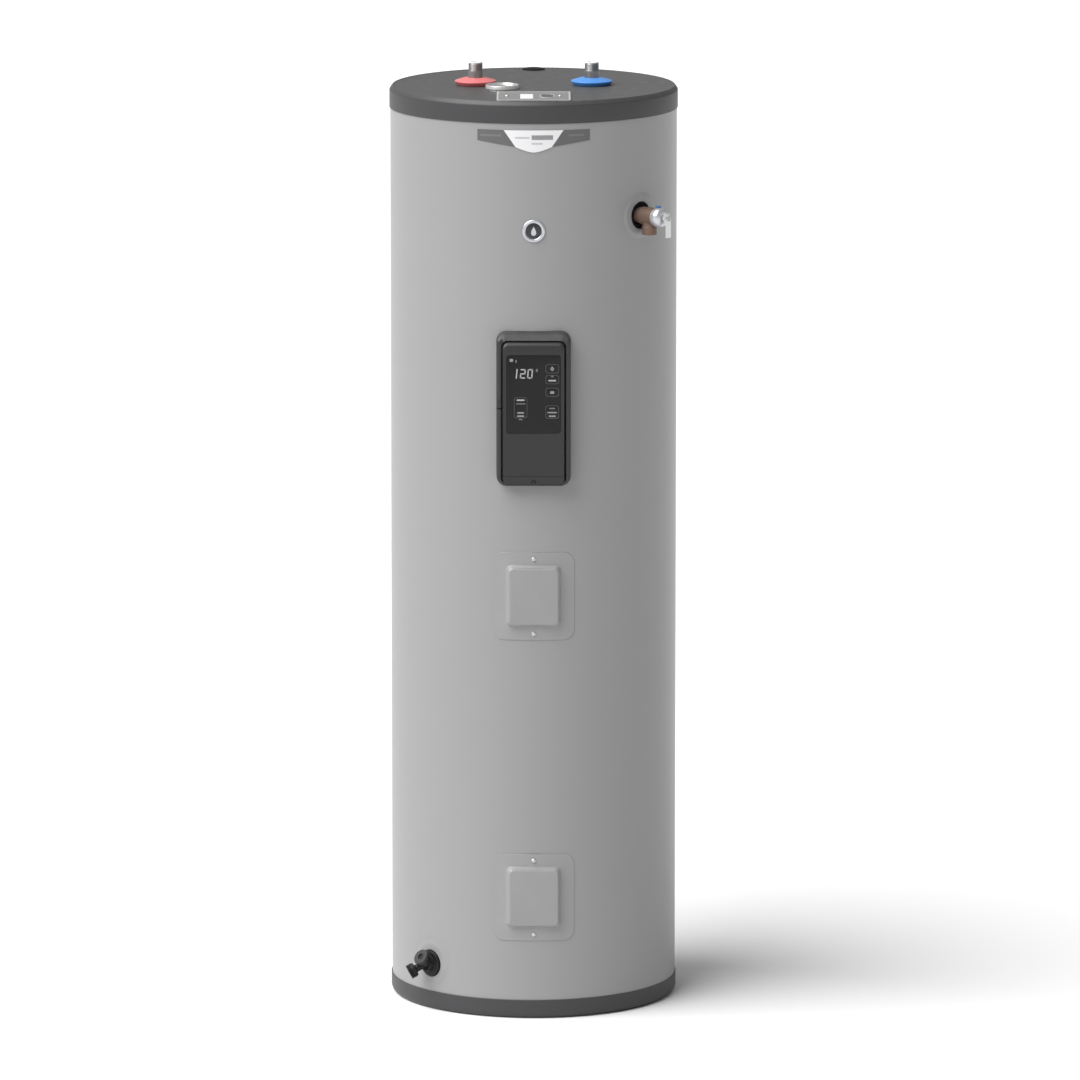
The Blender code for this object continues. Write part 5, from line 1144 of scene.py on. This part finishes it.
# Two stickers lie round the jacket under the cover: dark grey wings, and a white shield over their
# middle. Plain bars stand for the words.
label_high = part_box("front_label")[1]
shield_low, shield_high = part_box("label_shield")
LABEL_SIDE = 0.0190
LABEL_INNER = 0.0290
SHIELD_FOOT = 0.0315


def wrapped(name, outlines, low, high, material, slot, *nodes, strips=28):
    """Flat outlines of (across, height) points laid round the jacket between two radii."""
    points, tops = [], []
    for outline in outlines:
        bm = bmesh.new()
        bm.faces.new([bm.verts.new((x, 0, z)) for x, z in outline])
        left = min(x for x, z in outline)
        right = max(x for x, z in outline)
        for i in range(1, strips):
            cut = left + (right - left) * i / strips
            bmesh.ops.bisect_plane(bm, geom=bm.verts[:] + bm.edges[:] + bm.faces[:], dist=1e-7,
                                   plane_co=(cut, 0, 0), plane_no=(1, 0, 0))
        bm.verts.index_update()
        start = len(points)
        points += [(v.co.x, v.co.z) for v in bm.verts]
        tops += [[start + v.index for v in f.verts] for f in bm.faces]
        bm.free()
    corners, faces = shell([Vector((x, -math.sqrt(high**2 - x**2), z)) for x, z in points],
                           [Vector((x, -math.sqrt(low**2 - x**2), z)) for x, z in points], tops)
    mesh = bpy.data.meshes.new(name)
    mesh.from_pydata(corners, [], faces)
    bm = bmesh.new()
    bm.from_mesh(mesh)
    bpy.data.meshes.remove(mesh)
    return fit(show(name, solid(name, bm), material), "heater", slot, *nodes)


def block_outline(across, up, half_width, half_height):
    return [(across + x * half_width, up + z * half_height) for x, z in ((-1, -1), (1, -1), (1, 1), (-1, 1))]


label_ink = finish("label_grey_ink", (0.100, 0.100, 0.102), 0.48, fineness=400.0, depth=0.000004,
                   spread=0.06)
label_white = finish("label_white_film", (0.68, 0.68, 0.69), 0.40, fineness=400.0, depth=0.000004,
                     spread=0.02)
word_grey = finish("label_word_grey", (0.23, 0.23, 0.235), 0.5, spread=0.1)
word_pale = finish("label_word_pale", (0.44, 0.44, 0.45), 0.5, spread=0.1)
top = label_high.z
half_label, half_shield = label_high.x, shield_high.x
wings = [(half_label, top), (half_label, top - LABEL_SIDE), (SHIELD_FOOT, top - LABEL_INNER),
         (-SHIELD_FOOT, top - LABEL_INNER), (-half_label, top - LABEL_SIDE), (-half_label, top)]
wrapped("label_wings", [wings], JACKET + 0.0003, JACKET + 0.0006, label_ink, "label_grey", "front_label",
        strips=40)
shield = [(half_shield, top), (SHIELD_FOOT, top - LABEL_INNER)]
foot = (top - LABEL_INNER, shield_low.z)
for step in range(1, 12):
    across = 1 - step / 6
    shield.append((SHIELD_FOOT * across, foot[1] + (foot[0] - foot[1]) * abs(across) ** 1.5))
shield += [(-SHIELD_FOOT, top - LABEL_INNER), (-half_shield, top)]
wrapped("label_shield_film", [shield], JACKET + 0.0009, JACKET + 0.0012, label_white, "label_white",
        "label_shield")
ink_low, ink_high = JACKET + 0.00121, JACKET + 0.0013
wrapped("shield_word_block", [block_outline(0.0150, top - 0.0125, 0.0185, 0.0040)], ink_low, ink_high,
        word_grey, "label_grey", strips=8)
wrapped("shield_words", [block_outline(-0.0195, top - 0.0130, 0.0125, 0.0016),
                         block_outline(0.0060, top - 0.0232, 0.0095, 0.0015)], ink_low, ink_high,
        word_pale, "label_grey", strips=8)
wing_words = [block_outline(-0.0740, top - 0.0098, 0.0185, 0.0016),
              block_outline(0.0735, top - 0.0095, 0.0130, 0.0016)]
wrapped("wing_words", wing_words, JACKET + 0.0006, JACKET + 0.00068,
        finish("wing_word_grey", (0.145, 0.145, 0.148), 0.5, spread=0.1), "label_grey", strips=8)


# The badge is a domed bright ring round a black disc, with a plain drop in its middle.
badge_low, badge_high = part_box("badge_ring")
badge_z = (badge_low.z + badge_high.z) / 2
BADGE = badge_high.x
BADGE_BORE = 0.0140
badge_place = Matrix.Translation((0, 0, badge_z)) @ FRONT
back, face = -badge_high.y, -badge_low.y
ring_metal = finish("bright_badge_ring", (0.55, 0.56, 0.59), 0.28, metallic=0.75, spread=0.05)
badge_ring = turned("badge_bezel", filleted([
    (BADGE_BORE, back, 0), (BADGE, back, 0.0003), (BADGE - 0.0006, back + 0.0016, 0.0009),
    ((BADGE + BADGE_BORE) / 2, face, 0.0030), (BADGE_BORE, back + 0.0016, 0.0006)]), badge_place, 96)
fit(show("badge_bezel", badge_ring, ring_metal), "heater", "chrome", "badge_ring")
disc_black = finish("badge_black", (0.014, 0.014, 0.016), 0.28, fineness=500.0, depth=0.000004, spread=0.05,
                    coat=0.3)
disc = turned("badge_face", filleted([(0, back, 0), (BADGE_BORE - 0.0003, back, 0),
                                      (BADGE_BORE - 0.0003, back + 0.0012, 0.0004),
                                      (0, back + 0.0015, 0)]), badge_place, 96)
fit(show("badge_face", disc, disc_black), "heater", "black_plastic", "badge_disc")
drop = []
for step in range(48):
    angle = step / 48 * math.tau
    drop.append((0.0062 * math.sin(angle) * math.sin(angle / 2) ** 1.4, 0.0080 * math.cos(angle)))
drop_metal = finish("badge_drop_metal", (0.54, 0.55, 0.58), 0.3, metallic=0.6, spread=0.08)
fit(show("badge_drop", prism("badge_drop", drop, back + 0.0014, back + 0.0020, badge_place), drop_metal),
    "heater", "chrome")


# The relief valve is a cast brass body screwed into the tank through a hole in the jacket, with an
# outlet pointing down. A bright bonnet holds the spring, and a pressed lever lifts the stem.
def outward(out, height):
    """Local X points out of the tank's side, Z points up and the origin is on the tank's axis."""
    across = Vector((0, 0, 1)).cross(out)
    axes = Matrix((out, across, Vector((0, 0, 1)))).transposed().to_4x4()
    return Matrix.Translation((0, 0, height)) @ axes


TURN_OUT = Matrix.Rotation(math.pi / 2, 4, "Y")
TANK_INNER = JACKET - 0.0007 - 0.0470 - 0.0022
TP_BARREL = 0.0155
TP_BARREL_END = 0.0335
TP_OUTLET = 0.0130
TP_OUTLET_OUT = 0.0200
TP_OUTLET_DROP = 0.0320
TP_BONNET = 0.0175
TP_BONNET_END = 0.0535
TP_PIN_OUT = 0.0600
TP_SEAT = 0.0120
LEVER_WIDTH = 0.0130
LEVER_SHEET = 0.0012
LEVER_LENGTH = 0.0340
LEVER_HEEL = 0.0082
LEVER_EAR = 0.0042
tp_frame = outward(tp_out, tp_pin.z)
tp_turned = tp_frame @ TURN_OUT
wall = JACKET
cast_brass = finish("cast_brass", (0.150, 0.094, 0.070), 0.58, metallic=0.30, fineness=420.0, depth=0.00006,
                    spread=0.22, dust=0.08)
valve_chrome = finish("satin_chrome", (0.58, 0.585, 0.61), 0.34, metallic=0.75, lines=0.000008, spread=0.12)
lever_steel = finish("pressed_lever_steel", (0.66, 0.66, 0.67), 0.34, metallic=0.7, lines=0.00001,
                     spread=0.15)
stem_steel = finish("turned_stem_steel", (0.55, 0.55, 0.55), 0.30, metallic=0.9, lines=0.00001, spread=0.1)
blue_tag = finish("blue_tag_plastic", (0.035, 0.13, 0.42), 0.45, spread=0.08, dust=0.05)


def screw_cut(depth, pitch, core, low, high):
    """A cut for turned(): a screw thread on the parts wider than core, between two heights."""
    def cut(radius, height, turn):
        if radius <= core or not low < height < high:
            return radius
        return radius - depth * abs(((height / pitch - turn) % 1.0) - 0.5) * 2
    return cut


barrel = show("relief_valve_body", turned("relief_valve_body", filleted([
    (0, wall - 0.0120, 0), (TP_BARREL - 0.0012, wall - 0.0120, 0.0008),
    (TP_BARREL - 0.0012, wall + 0.0030, 0.0010),
    (TP_BARREL, wall + 0.0055, 0.0012), (TP_BARREL, wall + TP_BARREL_END, 0.0010),
    (0, wall + TP_BARREL_END, 0)]), tp_turned, 72), cast_brass)
outlet_place = tp_frame @ Matrix.Translation((wall + TP_OUTLET_OUT, 0, 0))
outlet = turned("outlet", filleted([
    (0, 0.0, 0), (TP_OUTLET - 0.0010, 0.0, 0), (TP_OUTLET - 0.0010, -0.0170, 0.0020),
    (TP_OUTLET, -0.0195, 0.0008),
    (TP_OUTLET, -TP_OUTLET_DROP, 0.0008), (0, -TP_OUTLET_DROP, 0)]), outlet_place, 64)
shank_out = wall - 0.0115
shank = [(0, TANK_INNER - 0.003), (0.0112, TANK_INNER - 0.003)]
shank += [(0.0126, TANK_INNER - 0.0010 + 0.0003 * i) for i in range(60)]
shank += [(0.0126, shank_out), (0, shank_out)]
shank = turned("shank", shank, tp_turned, 48,
               screw_cut(0.0008, THREAD_PITCH, 0.0120, 0.0, TANK_INNER + 0.0168))
probe_start = TANK_INNER - 0.1000
probe = turned("probe", filleted([(0, probe_start, 0), (0.0055, probe_start, 0.0040),
                                  (0.0055, TANK_INNER - 0.002, 0),
                                  (0, TANK_INNER - 0.002, 0)]), tp_turned, 32)
carve(barrel, outlet, shank, probe, operation="UNION")
bore = rod(0.0095, -TP_OUTLET_DROP - 0.01, 0.002, outlet_place)
fit(carve(barrel, bore, rod(0.0095, wall + TP_SEAT, wall + 0.06, tp_turned)), "heater", "brass",
    "tp_valve_body")

base, end = wall + TP_BARREL_END + 0.0003, wall + TP_BONNET_END
bonnet = turned("relief_valve_bonnet", filleted([
    (0.0026, end, 0.0003), (TP_BONNET * 0.58, end, 0.0020), (TP_BONNET * 0.90, end - 0.0035, 0.0040),
    (TP_BONNET, end - 0.0095, 0.0050), (TP_BONNET, base + 0.0042, 0.0012),
    (TP_BONNET - 0.0025, base + 0.0022, 0.0005),
    (TP_BONNET - 0.0025, base, 0), (0.0105, base, 0), (0.0105, end - 0.0040, 0.0010),
    (0.0026, end - 0.0040, 0)]),
    tp_turned, 96)
fit(show("relief_valve_bonnet", bonnet, valve_chrome), "heater", "chrome", "tp_bonnet")

disc_in = wall + TP_SEAT + 0.0003
pin_out = wall + TP_PIN_OUT
stem = show("relief_valve_stem", turned("relief_valve_stem", filleted([
    (0, pin_out, 0), (0.0020, pin_out, 0), (0.0020, disc_in + 0.0030, 0.0004),
    (0.0085, disc_in + 0.0030, 0.0005),
    (0.0085, disc_in, 0.0003), (0, disc_in, 0)]), tp_turned, 40), stem_steel)
pin_place = tp_frame @ Matrix.Translation((pin_out, 0, 0)) @ FRONT
eye = turned("eye", filleted([(0, -0.0020, 0), (0.0034, -0.0020, 0.0004), (0.0034, 0.0020, 0.0004),
                              (0, 0.0020, 0)]),
             pin_place, 40)
carve(stem, eye, operation="UNION")
fit(carve(stem, rod(0.0014, -0.02, 0.02, pin_place, 24)), "tp_stem", "steel", "tp_stem")
pin = turned("lever_pin", filleted([(0, -LEVER_WIDTH / 2, 0), (0.0011, -LEVER_WIDTH / 2, 0.0003),
                                    (0.0011, LEVER_WIDTH / 2, 0.0003), (0, LEVER_WIDTH / 2, 0)]),
                        pin_place, 24)
fit(show("lever_pin", pin, stem_steel), "tp_stem", "steel", "tp_lever_pin")

# The lever is one pressing: a hanging plate, and two ears that turn on the pin and end in cam heels.
lever_place = tp_frame @ Matrix.Translation((pin_out, 0, 0))
plate_in = LEVER_EAR - LEVER_SHEET
hang = [(plate_in, -0.0050), (plate_in + LEVER_SHEET, -0.0050),
        (plate_in + LEVER_SHEET, -LEVER_LENGTH + 0.0006),
        (plate_in + LEVER_SHEET / 2, -LEVER_LENGTH), (plate_in, -LEVER_LENGTH + 0.0006)]
lever = show("test_lever", prism("test_lever", hang, -LEVER_WIDTH / 2, LEVER_WIDTH / 2, lever_place @ FRONT),
             lever_steel)
ear = [(LEVER_EAR * math.cos(a), LEVER_EAR * math.sin(a)) for a in (i * math.tau / 40 for i in range(40))]
web = [(-0.0001, 0.0), (plate_in + LEVER_SHEET, 0.0), (plate_in + LEVER_SHEET, -0.0140), (plate_in, -0.0142),
       (-0.0010, -0.0070)]
heel = [(-0.0015, 0.0), (0.0015, 0.0), (0.0015, LEVER_HEEL - 0.0008), (0.0006, LEVER_HEEL),
        (-0.0006, LEVER_HEEL),
        (-0.0015, LEVER_HEEL - 0.0008)]
sides = []
for low in (-LEVER_WIDTH / 2, LEVER_WIDTH / 2 - LEVER_SHEET):
    sides += [prism("side", shape, low, low + LEVER_SHEET, lever_place @ FRONT)
              for shape in (ear, web, heel)]
carve(lever, *sides, operation="UNION")
fit(carve(lever, rod(0.0014, -0.02, 0.02, pin_place, 24)), "tp_lever", "steel", "tp_lever")

spring_in = disc_in + 0.0030 + 0.0003 + 0.0007
spring_out = end - 0.0040 - 0.0003 - 0.0007
spring = bpy.data.curves.new("relief_valve_spring", "CURVE")
spring.dimensions = "3D"
spring.bevel_depth = 0.0007
spring.bevel_resolution = 3
spring.use_fill_caps = True
coil = spring.splines.new("POLY")
TURNS, STEPS = 5, 32
coil.points.add(TURNS * STEPS)
for number, point in enumerate(coil.points):
    angle = number / STEPS * math.tau
    along = spring_in + (spring_out - spring_in) * number / (TURNS * STEPS)
    point.co = (*(tp_frame @ Vector((along, 0.0065 * math.cos(angle), 0.0065 * math.sin(angle)))), 1.0)
spring_curve = bpy.data.objects.new("spring_curve", spring)
scene.collection.objects.link(spring_curve)
wound = bpy.data.meshes.new_from_object(
    spring_curve.evaluated_get(bpy.context.evaluated_depsgraph_get()))
bpy.data.objects.remove(spring_curve)
wound.shade_smooth()
wound.materials.clear()
spring_piece = fit(show("relief_valve_spring", wound, stem_steel), "heater", "steel", "tp_spring")
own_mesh(spring_piece)

tag_place = tp_frame @ Matrix.Translation((end - 0.0095 - 0.0032, 0, TP_BONNET + 0.0003))
tag = plate("relief_valve_tag", 0.0040, 0.0038, 0.0010, 0.0, 0.0016, 0.0004, tag_place)
fit(show("relief_valve_tag", tag, blue_tag), "heater", "blue_plastic", "tp_tag")

# The seal is black foam; its near-black, barely reflective tone is also painted shade for the gap round the
# valve.
seal_and_painted_hole_shade = finish("hole_seal_foam_and_painted_shade", (0.008, 0.008, 0.008), 0.9, fineness=300.0, depth=0.0004, spread=0.2,
                   specular=0.1)
seal = turned("relief_valve_hole_seal", filleted([
    (TP_BARREL + 0.0002, wall - 0.0100, 0), (TP_HOLE - 0.0001, wall - 0.0100, 0.0005),
    (TP_HOLE - 0.0001, wall - 0.0002, 0.0006), (TP_BARREL + 0.0002, wall - 0.0030, 0.0005)]), tp_turned, 72)
fit(show("relief_valve_hole_seal", seal, seal_and_painted_hole_shade), "heater", "foam")


# The drain valve is moulded in black plastic: a flange in the jacket's hole, a body with a tilted
# boss and a threaded hose outlet. A round knob turns the stem that rises through the boss.
FLANGE = 0.0228
FLANGE_HALF = 0.0045
DRAIN_BODY = 0.0130
BOSS = 0.0095
BOSS_LENGTH = 0.0130
NECK = 0.0066
HOSE_THREAD = 0.0132
HOSE_LENGTH = 0.0095
DRAIN_REACH = 0.0375
MOUTH_BORE = 0.0085
DRAIN_STEM = 0.0036
KNOB = 0.0145
KNOB_HEIGHT = 0.0085
KNOB_RECESS = 0.0055
OUTLET_TURN = Matrix.Rotation(math.radians(-34), 4, "Z")
OUTLET_DIP = math.radians(28)
drain_frame = outward(drain_out, DRAIN_HEIGHT)
drain_turned = drain_frame @ TURN_OUT
hub_out = Vector((drain_hub.x, drain_hub.y, 0)).length
hub_frame = drain_frame @ Matrix.Translation((hub_out, 0, drain_hub.z - DRAIN_HEIGHT))
tilt_up = math.asin(knob_axis.z)
boss_place = hub_frame @ Matrix.Rotation(math.pi / 2 - tilt_up, 4, "Y")
outlet_place = hub_frame @ OUTLET_TURN @ Matrix.Rotation(math.pi / 2 + OUTLET_DIP, 4, "Y")
drain_plastic = finish("black_valve_plastic", (0.008, 0.008, 0.009), 0.50, fineness=1300.0, depth=0.00002,
                       spread=0.12, dust=0.04, specular=0.3)
knob_plastic = finish("black_knob_plastic", (0.011, 0.011, 0.012), 0.50, fineness=1300.0, depth=0.00002,
                      spread=0.12, dust=0.08)
drain = show("drain_valve_moulding", turned("drain_valve_moulding", filleted([
    (0, wall - FLANGE_HALF, 0), (FLANGE, wall - FLANGE_HALF, 0.0005), (FLANGE, wall + FLANGE_HALF, 0.0015),
    (DRAIN_BODY + 0.0012, wall + FLANGE_HALF, 0.0012), (DRAIN_BODY, hub_out + 0.0045, 0.0008),
    (DRAIN_BODY - 0.0012, hub_out + 0.0060, 0.0010), (0, hub_out + 0.0060, 0)]), drain_turned, 72),
    drain_plastic)
shank = turned("shank", [(0, TANK_INNER - 0.003), (0.0126, TANK_INNER - 0.003), (0.0126, wall), (0, wall)],
               drain_turned, 48)
boss = turned("boss", filleted([(0, 0.0, 0), (BOSS, 0.0, 0), (BOSS, BOSS_LENGTH, 0.0006),
                                (0, BOSS_LENGTH, 0)]), boss_place, 56)
flare = DRAIN_REACH - HOSE_LENGTH - 0.005
hose_pitch = 0.0022
neck = filleted([(0, 0.0, 0), (NECK, 0.0, 0), (NECK, flare, 0.0020), (HOSE_THREAD, flare + 0.0055, 0.0010)])
neck += [(HOSE_THREAD, flare + 0.0060 + 0.0003 * i) for i in range(1, 27)]
neck += [(HOSE_THREAD - 0.0006, DRAIN_REACH), (0, DRAIN_REACH)]
hose_top, hose_bottom = DRAIN_REACH - 0.0012, flare + 0.0072
neck = turned("neck", neck, outlet_place, 64,
              screw_cut(0.0010, hose_pitch, HOSE_THREAD - 1e-6, hose_bottom, hose_top))
carve(drain, shank, boss, neck, operation="UNION")
mouth = rod(MOUTH_BORE, DRAIN_REACH - HOSE_LENGTH, DRAIN_REACH + 0.01, outlet_place)
fit(carve(drain, mouth, rod(0.0045, DRAIN_BODY, DRAIN_REACH, outlet_place, 32),
          rod(DRAIN_STEM + 0.0003, -0.008, BOSS_LENGTH + 0.01, boss_place, 32)),
    "heater", "black_plastic", "drain_valve_body")
knob_base = BOSS_LENGTH + 0.0003
knob_top = knob_base + KNOB_HEIGHT
knob_floor = knob_top - 0.0030


def knob_grip(radius, height, turn):
    """Twelve shallow finger flutes round the knob's side."""
    if radius < KNOB - 0.0009 or not knob_base + 0.0018 < height < knob_top - 0.0012:
        return radius
    return radius - 0.0005 * (0.5 - 0.5 * math.cos(12 * turn * math.tau))


knob = turned("drain_hand_knob", filleted([
    (KNOB_RECESS, knob_top, 0.0004), (KNOB - 0.0012, knob_top, 0.0008), (KNOB, knob_top - 0.0016, 0.0006),
    (KNOB, knob_base + 0.0022, 0.0006), (BOSS, knob_base, 0.0004), (DRAIN_STEM + 0.0003, knob_base, 0),
    (DRAIN_STEM + 0.0003, knob_floor, 0), (KNOB_RECESS, knob_floor, 0.0004)]), boss_place, 96, knob_grip)
fit(show("drain_hand_knob", knob, knob_plastic), "drain_knob", "black_plastic", "drain_knob")
stem_low = -0.0070
stem = show("drain_valve_stem", turned("drain_valve_stem", filleted([
    (0, stem_low, 0), (DRAIN_STEM, stem_low, 0.0008), (DRAIN_STEM, knob_floor + 0.0008, 0.0003),
    (0, knob_floor + 0.0008, 0)]), boss_place, 40), drain_plastic)
slot_cut = skin("slot", [ring(0.0030, 0.0005, 0.0002, z) for z in (knob_floor + 0.0001, knob_floor + 0.01)],
                boss_place)
fit(carve(stem, slot_cut), "drain_stem", "black_plastic", "drain_stem")
# The same near-black finish: a foam seal, and painted shade for the hole behind the flange.
drain_seal = turned("drain_hole_seal", filleted([
    (0.0128, wall - 0.0120, 0), (DRAIN_HOLE - 0.0002, wall - 0.0120, 0.0005),
    (DRAIN_HOLE - 0.0002, wall - 0.0008, 0),
    (FLANGE + 0.0001, wall - 0.0008, 0), (FLANGE + 0.0001, wall - FLANGE_HALF - 0.0002, 0),
    (0.0128, wall - FLANGE_HALF - 0.0002, 0)]),
    drain_turned, 64)
fit(show("drain_hole_seal", drain_seal, seal_and_painted_hole_shade), "heater", "foam")


# The tank, its foam and what is wired inside keep their CAD shapes, each in its own material.
tank_enamel = finish("blue_black_enamelled_steel", (0.045, 0.065, 0.105), 0.32, metallic=0.25,
                     fineness=240.0,
                     depth=0.00010, spread=0.25, coat=0.3)
inside_foam = finish("foamed_in_insulation", (0.80, 0.68, 0.38), 0.95, fineness=200.0, depth=0.0010,
                     spread=0.2)
box_steel = finish("galvanised_box", (0.55, 0.56, 0.57), 0.38, metallic=0.85, fineness=90.0, depth=0.00004,
                   spread=0.3, dust=0.1)
tube_plastic = finish("white_dip_tube", (0.80, 0.80, 0.78), 0.42, spread=0.04)
magnesium = finish("cast_magnesium", (0.55, 0.56, 0.57), 0.55, metallic=0.8, fineness=300.0, depth=0.00015,
                   spread=0.25)
element_steel = finish("nickel_element_sheath", (0.50, 0.47, 0.42), 0.34, metallic=0.9, lines=0.00002,
                       spread=0.25)
thermostat_black = finish("thermostat_phenolic", (0.030, 0.028, 0.026), 0.5, fineness=800.0, spread=0.2,
                          dust=0.2)
sleeve = finish("woven_wire_sleeve", (0.06, 0.06, 0.06), 0.75, fineness=1400.0, depth=0.00025, spread=0.2,
                dust=0.1)
board_lacquer = finish("green_board_lacquer", (0.02, 0.16, 0.055), 0.35, fineness=700.0, spread=0.15,
                       coat=0.4)
inside = {
    "foam_insulation": inside_foam, "tank_shell": tank_enamel, "tank_top_head": tank_enamel,
    "tank_bottom_head": tank_enamel, "junction_box": box_steel, "dip_tube": tube_plastic,
    "anode_rod": magnesium, "upper_heating_element": element_steel, "lower_heating_element": element_steel,
    "upper_thermostat": thermostat_black, "lower_thermostat": thermostat_black, "supply_lead": sleeve,
    "upper_element_lead": sleeve, "lower_element_lead": sleeve, "control_board": board_lacquer,
}
for node, material in inside.items():
    for material_slot in frame["nodes"][node].material_slots:
        material_slot.material = material


# The size of the visual beside the CAD's, for checking.
low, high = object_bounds()
{"cad": [list(cad_low), list(cad_high)], "visual": [list(low), list(high)]}
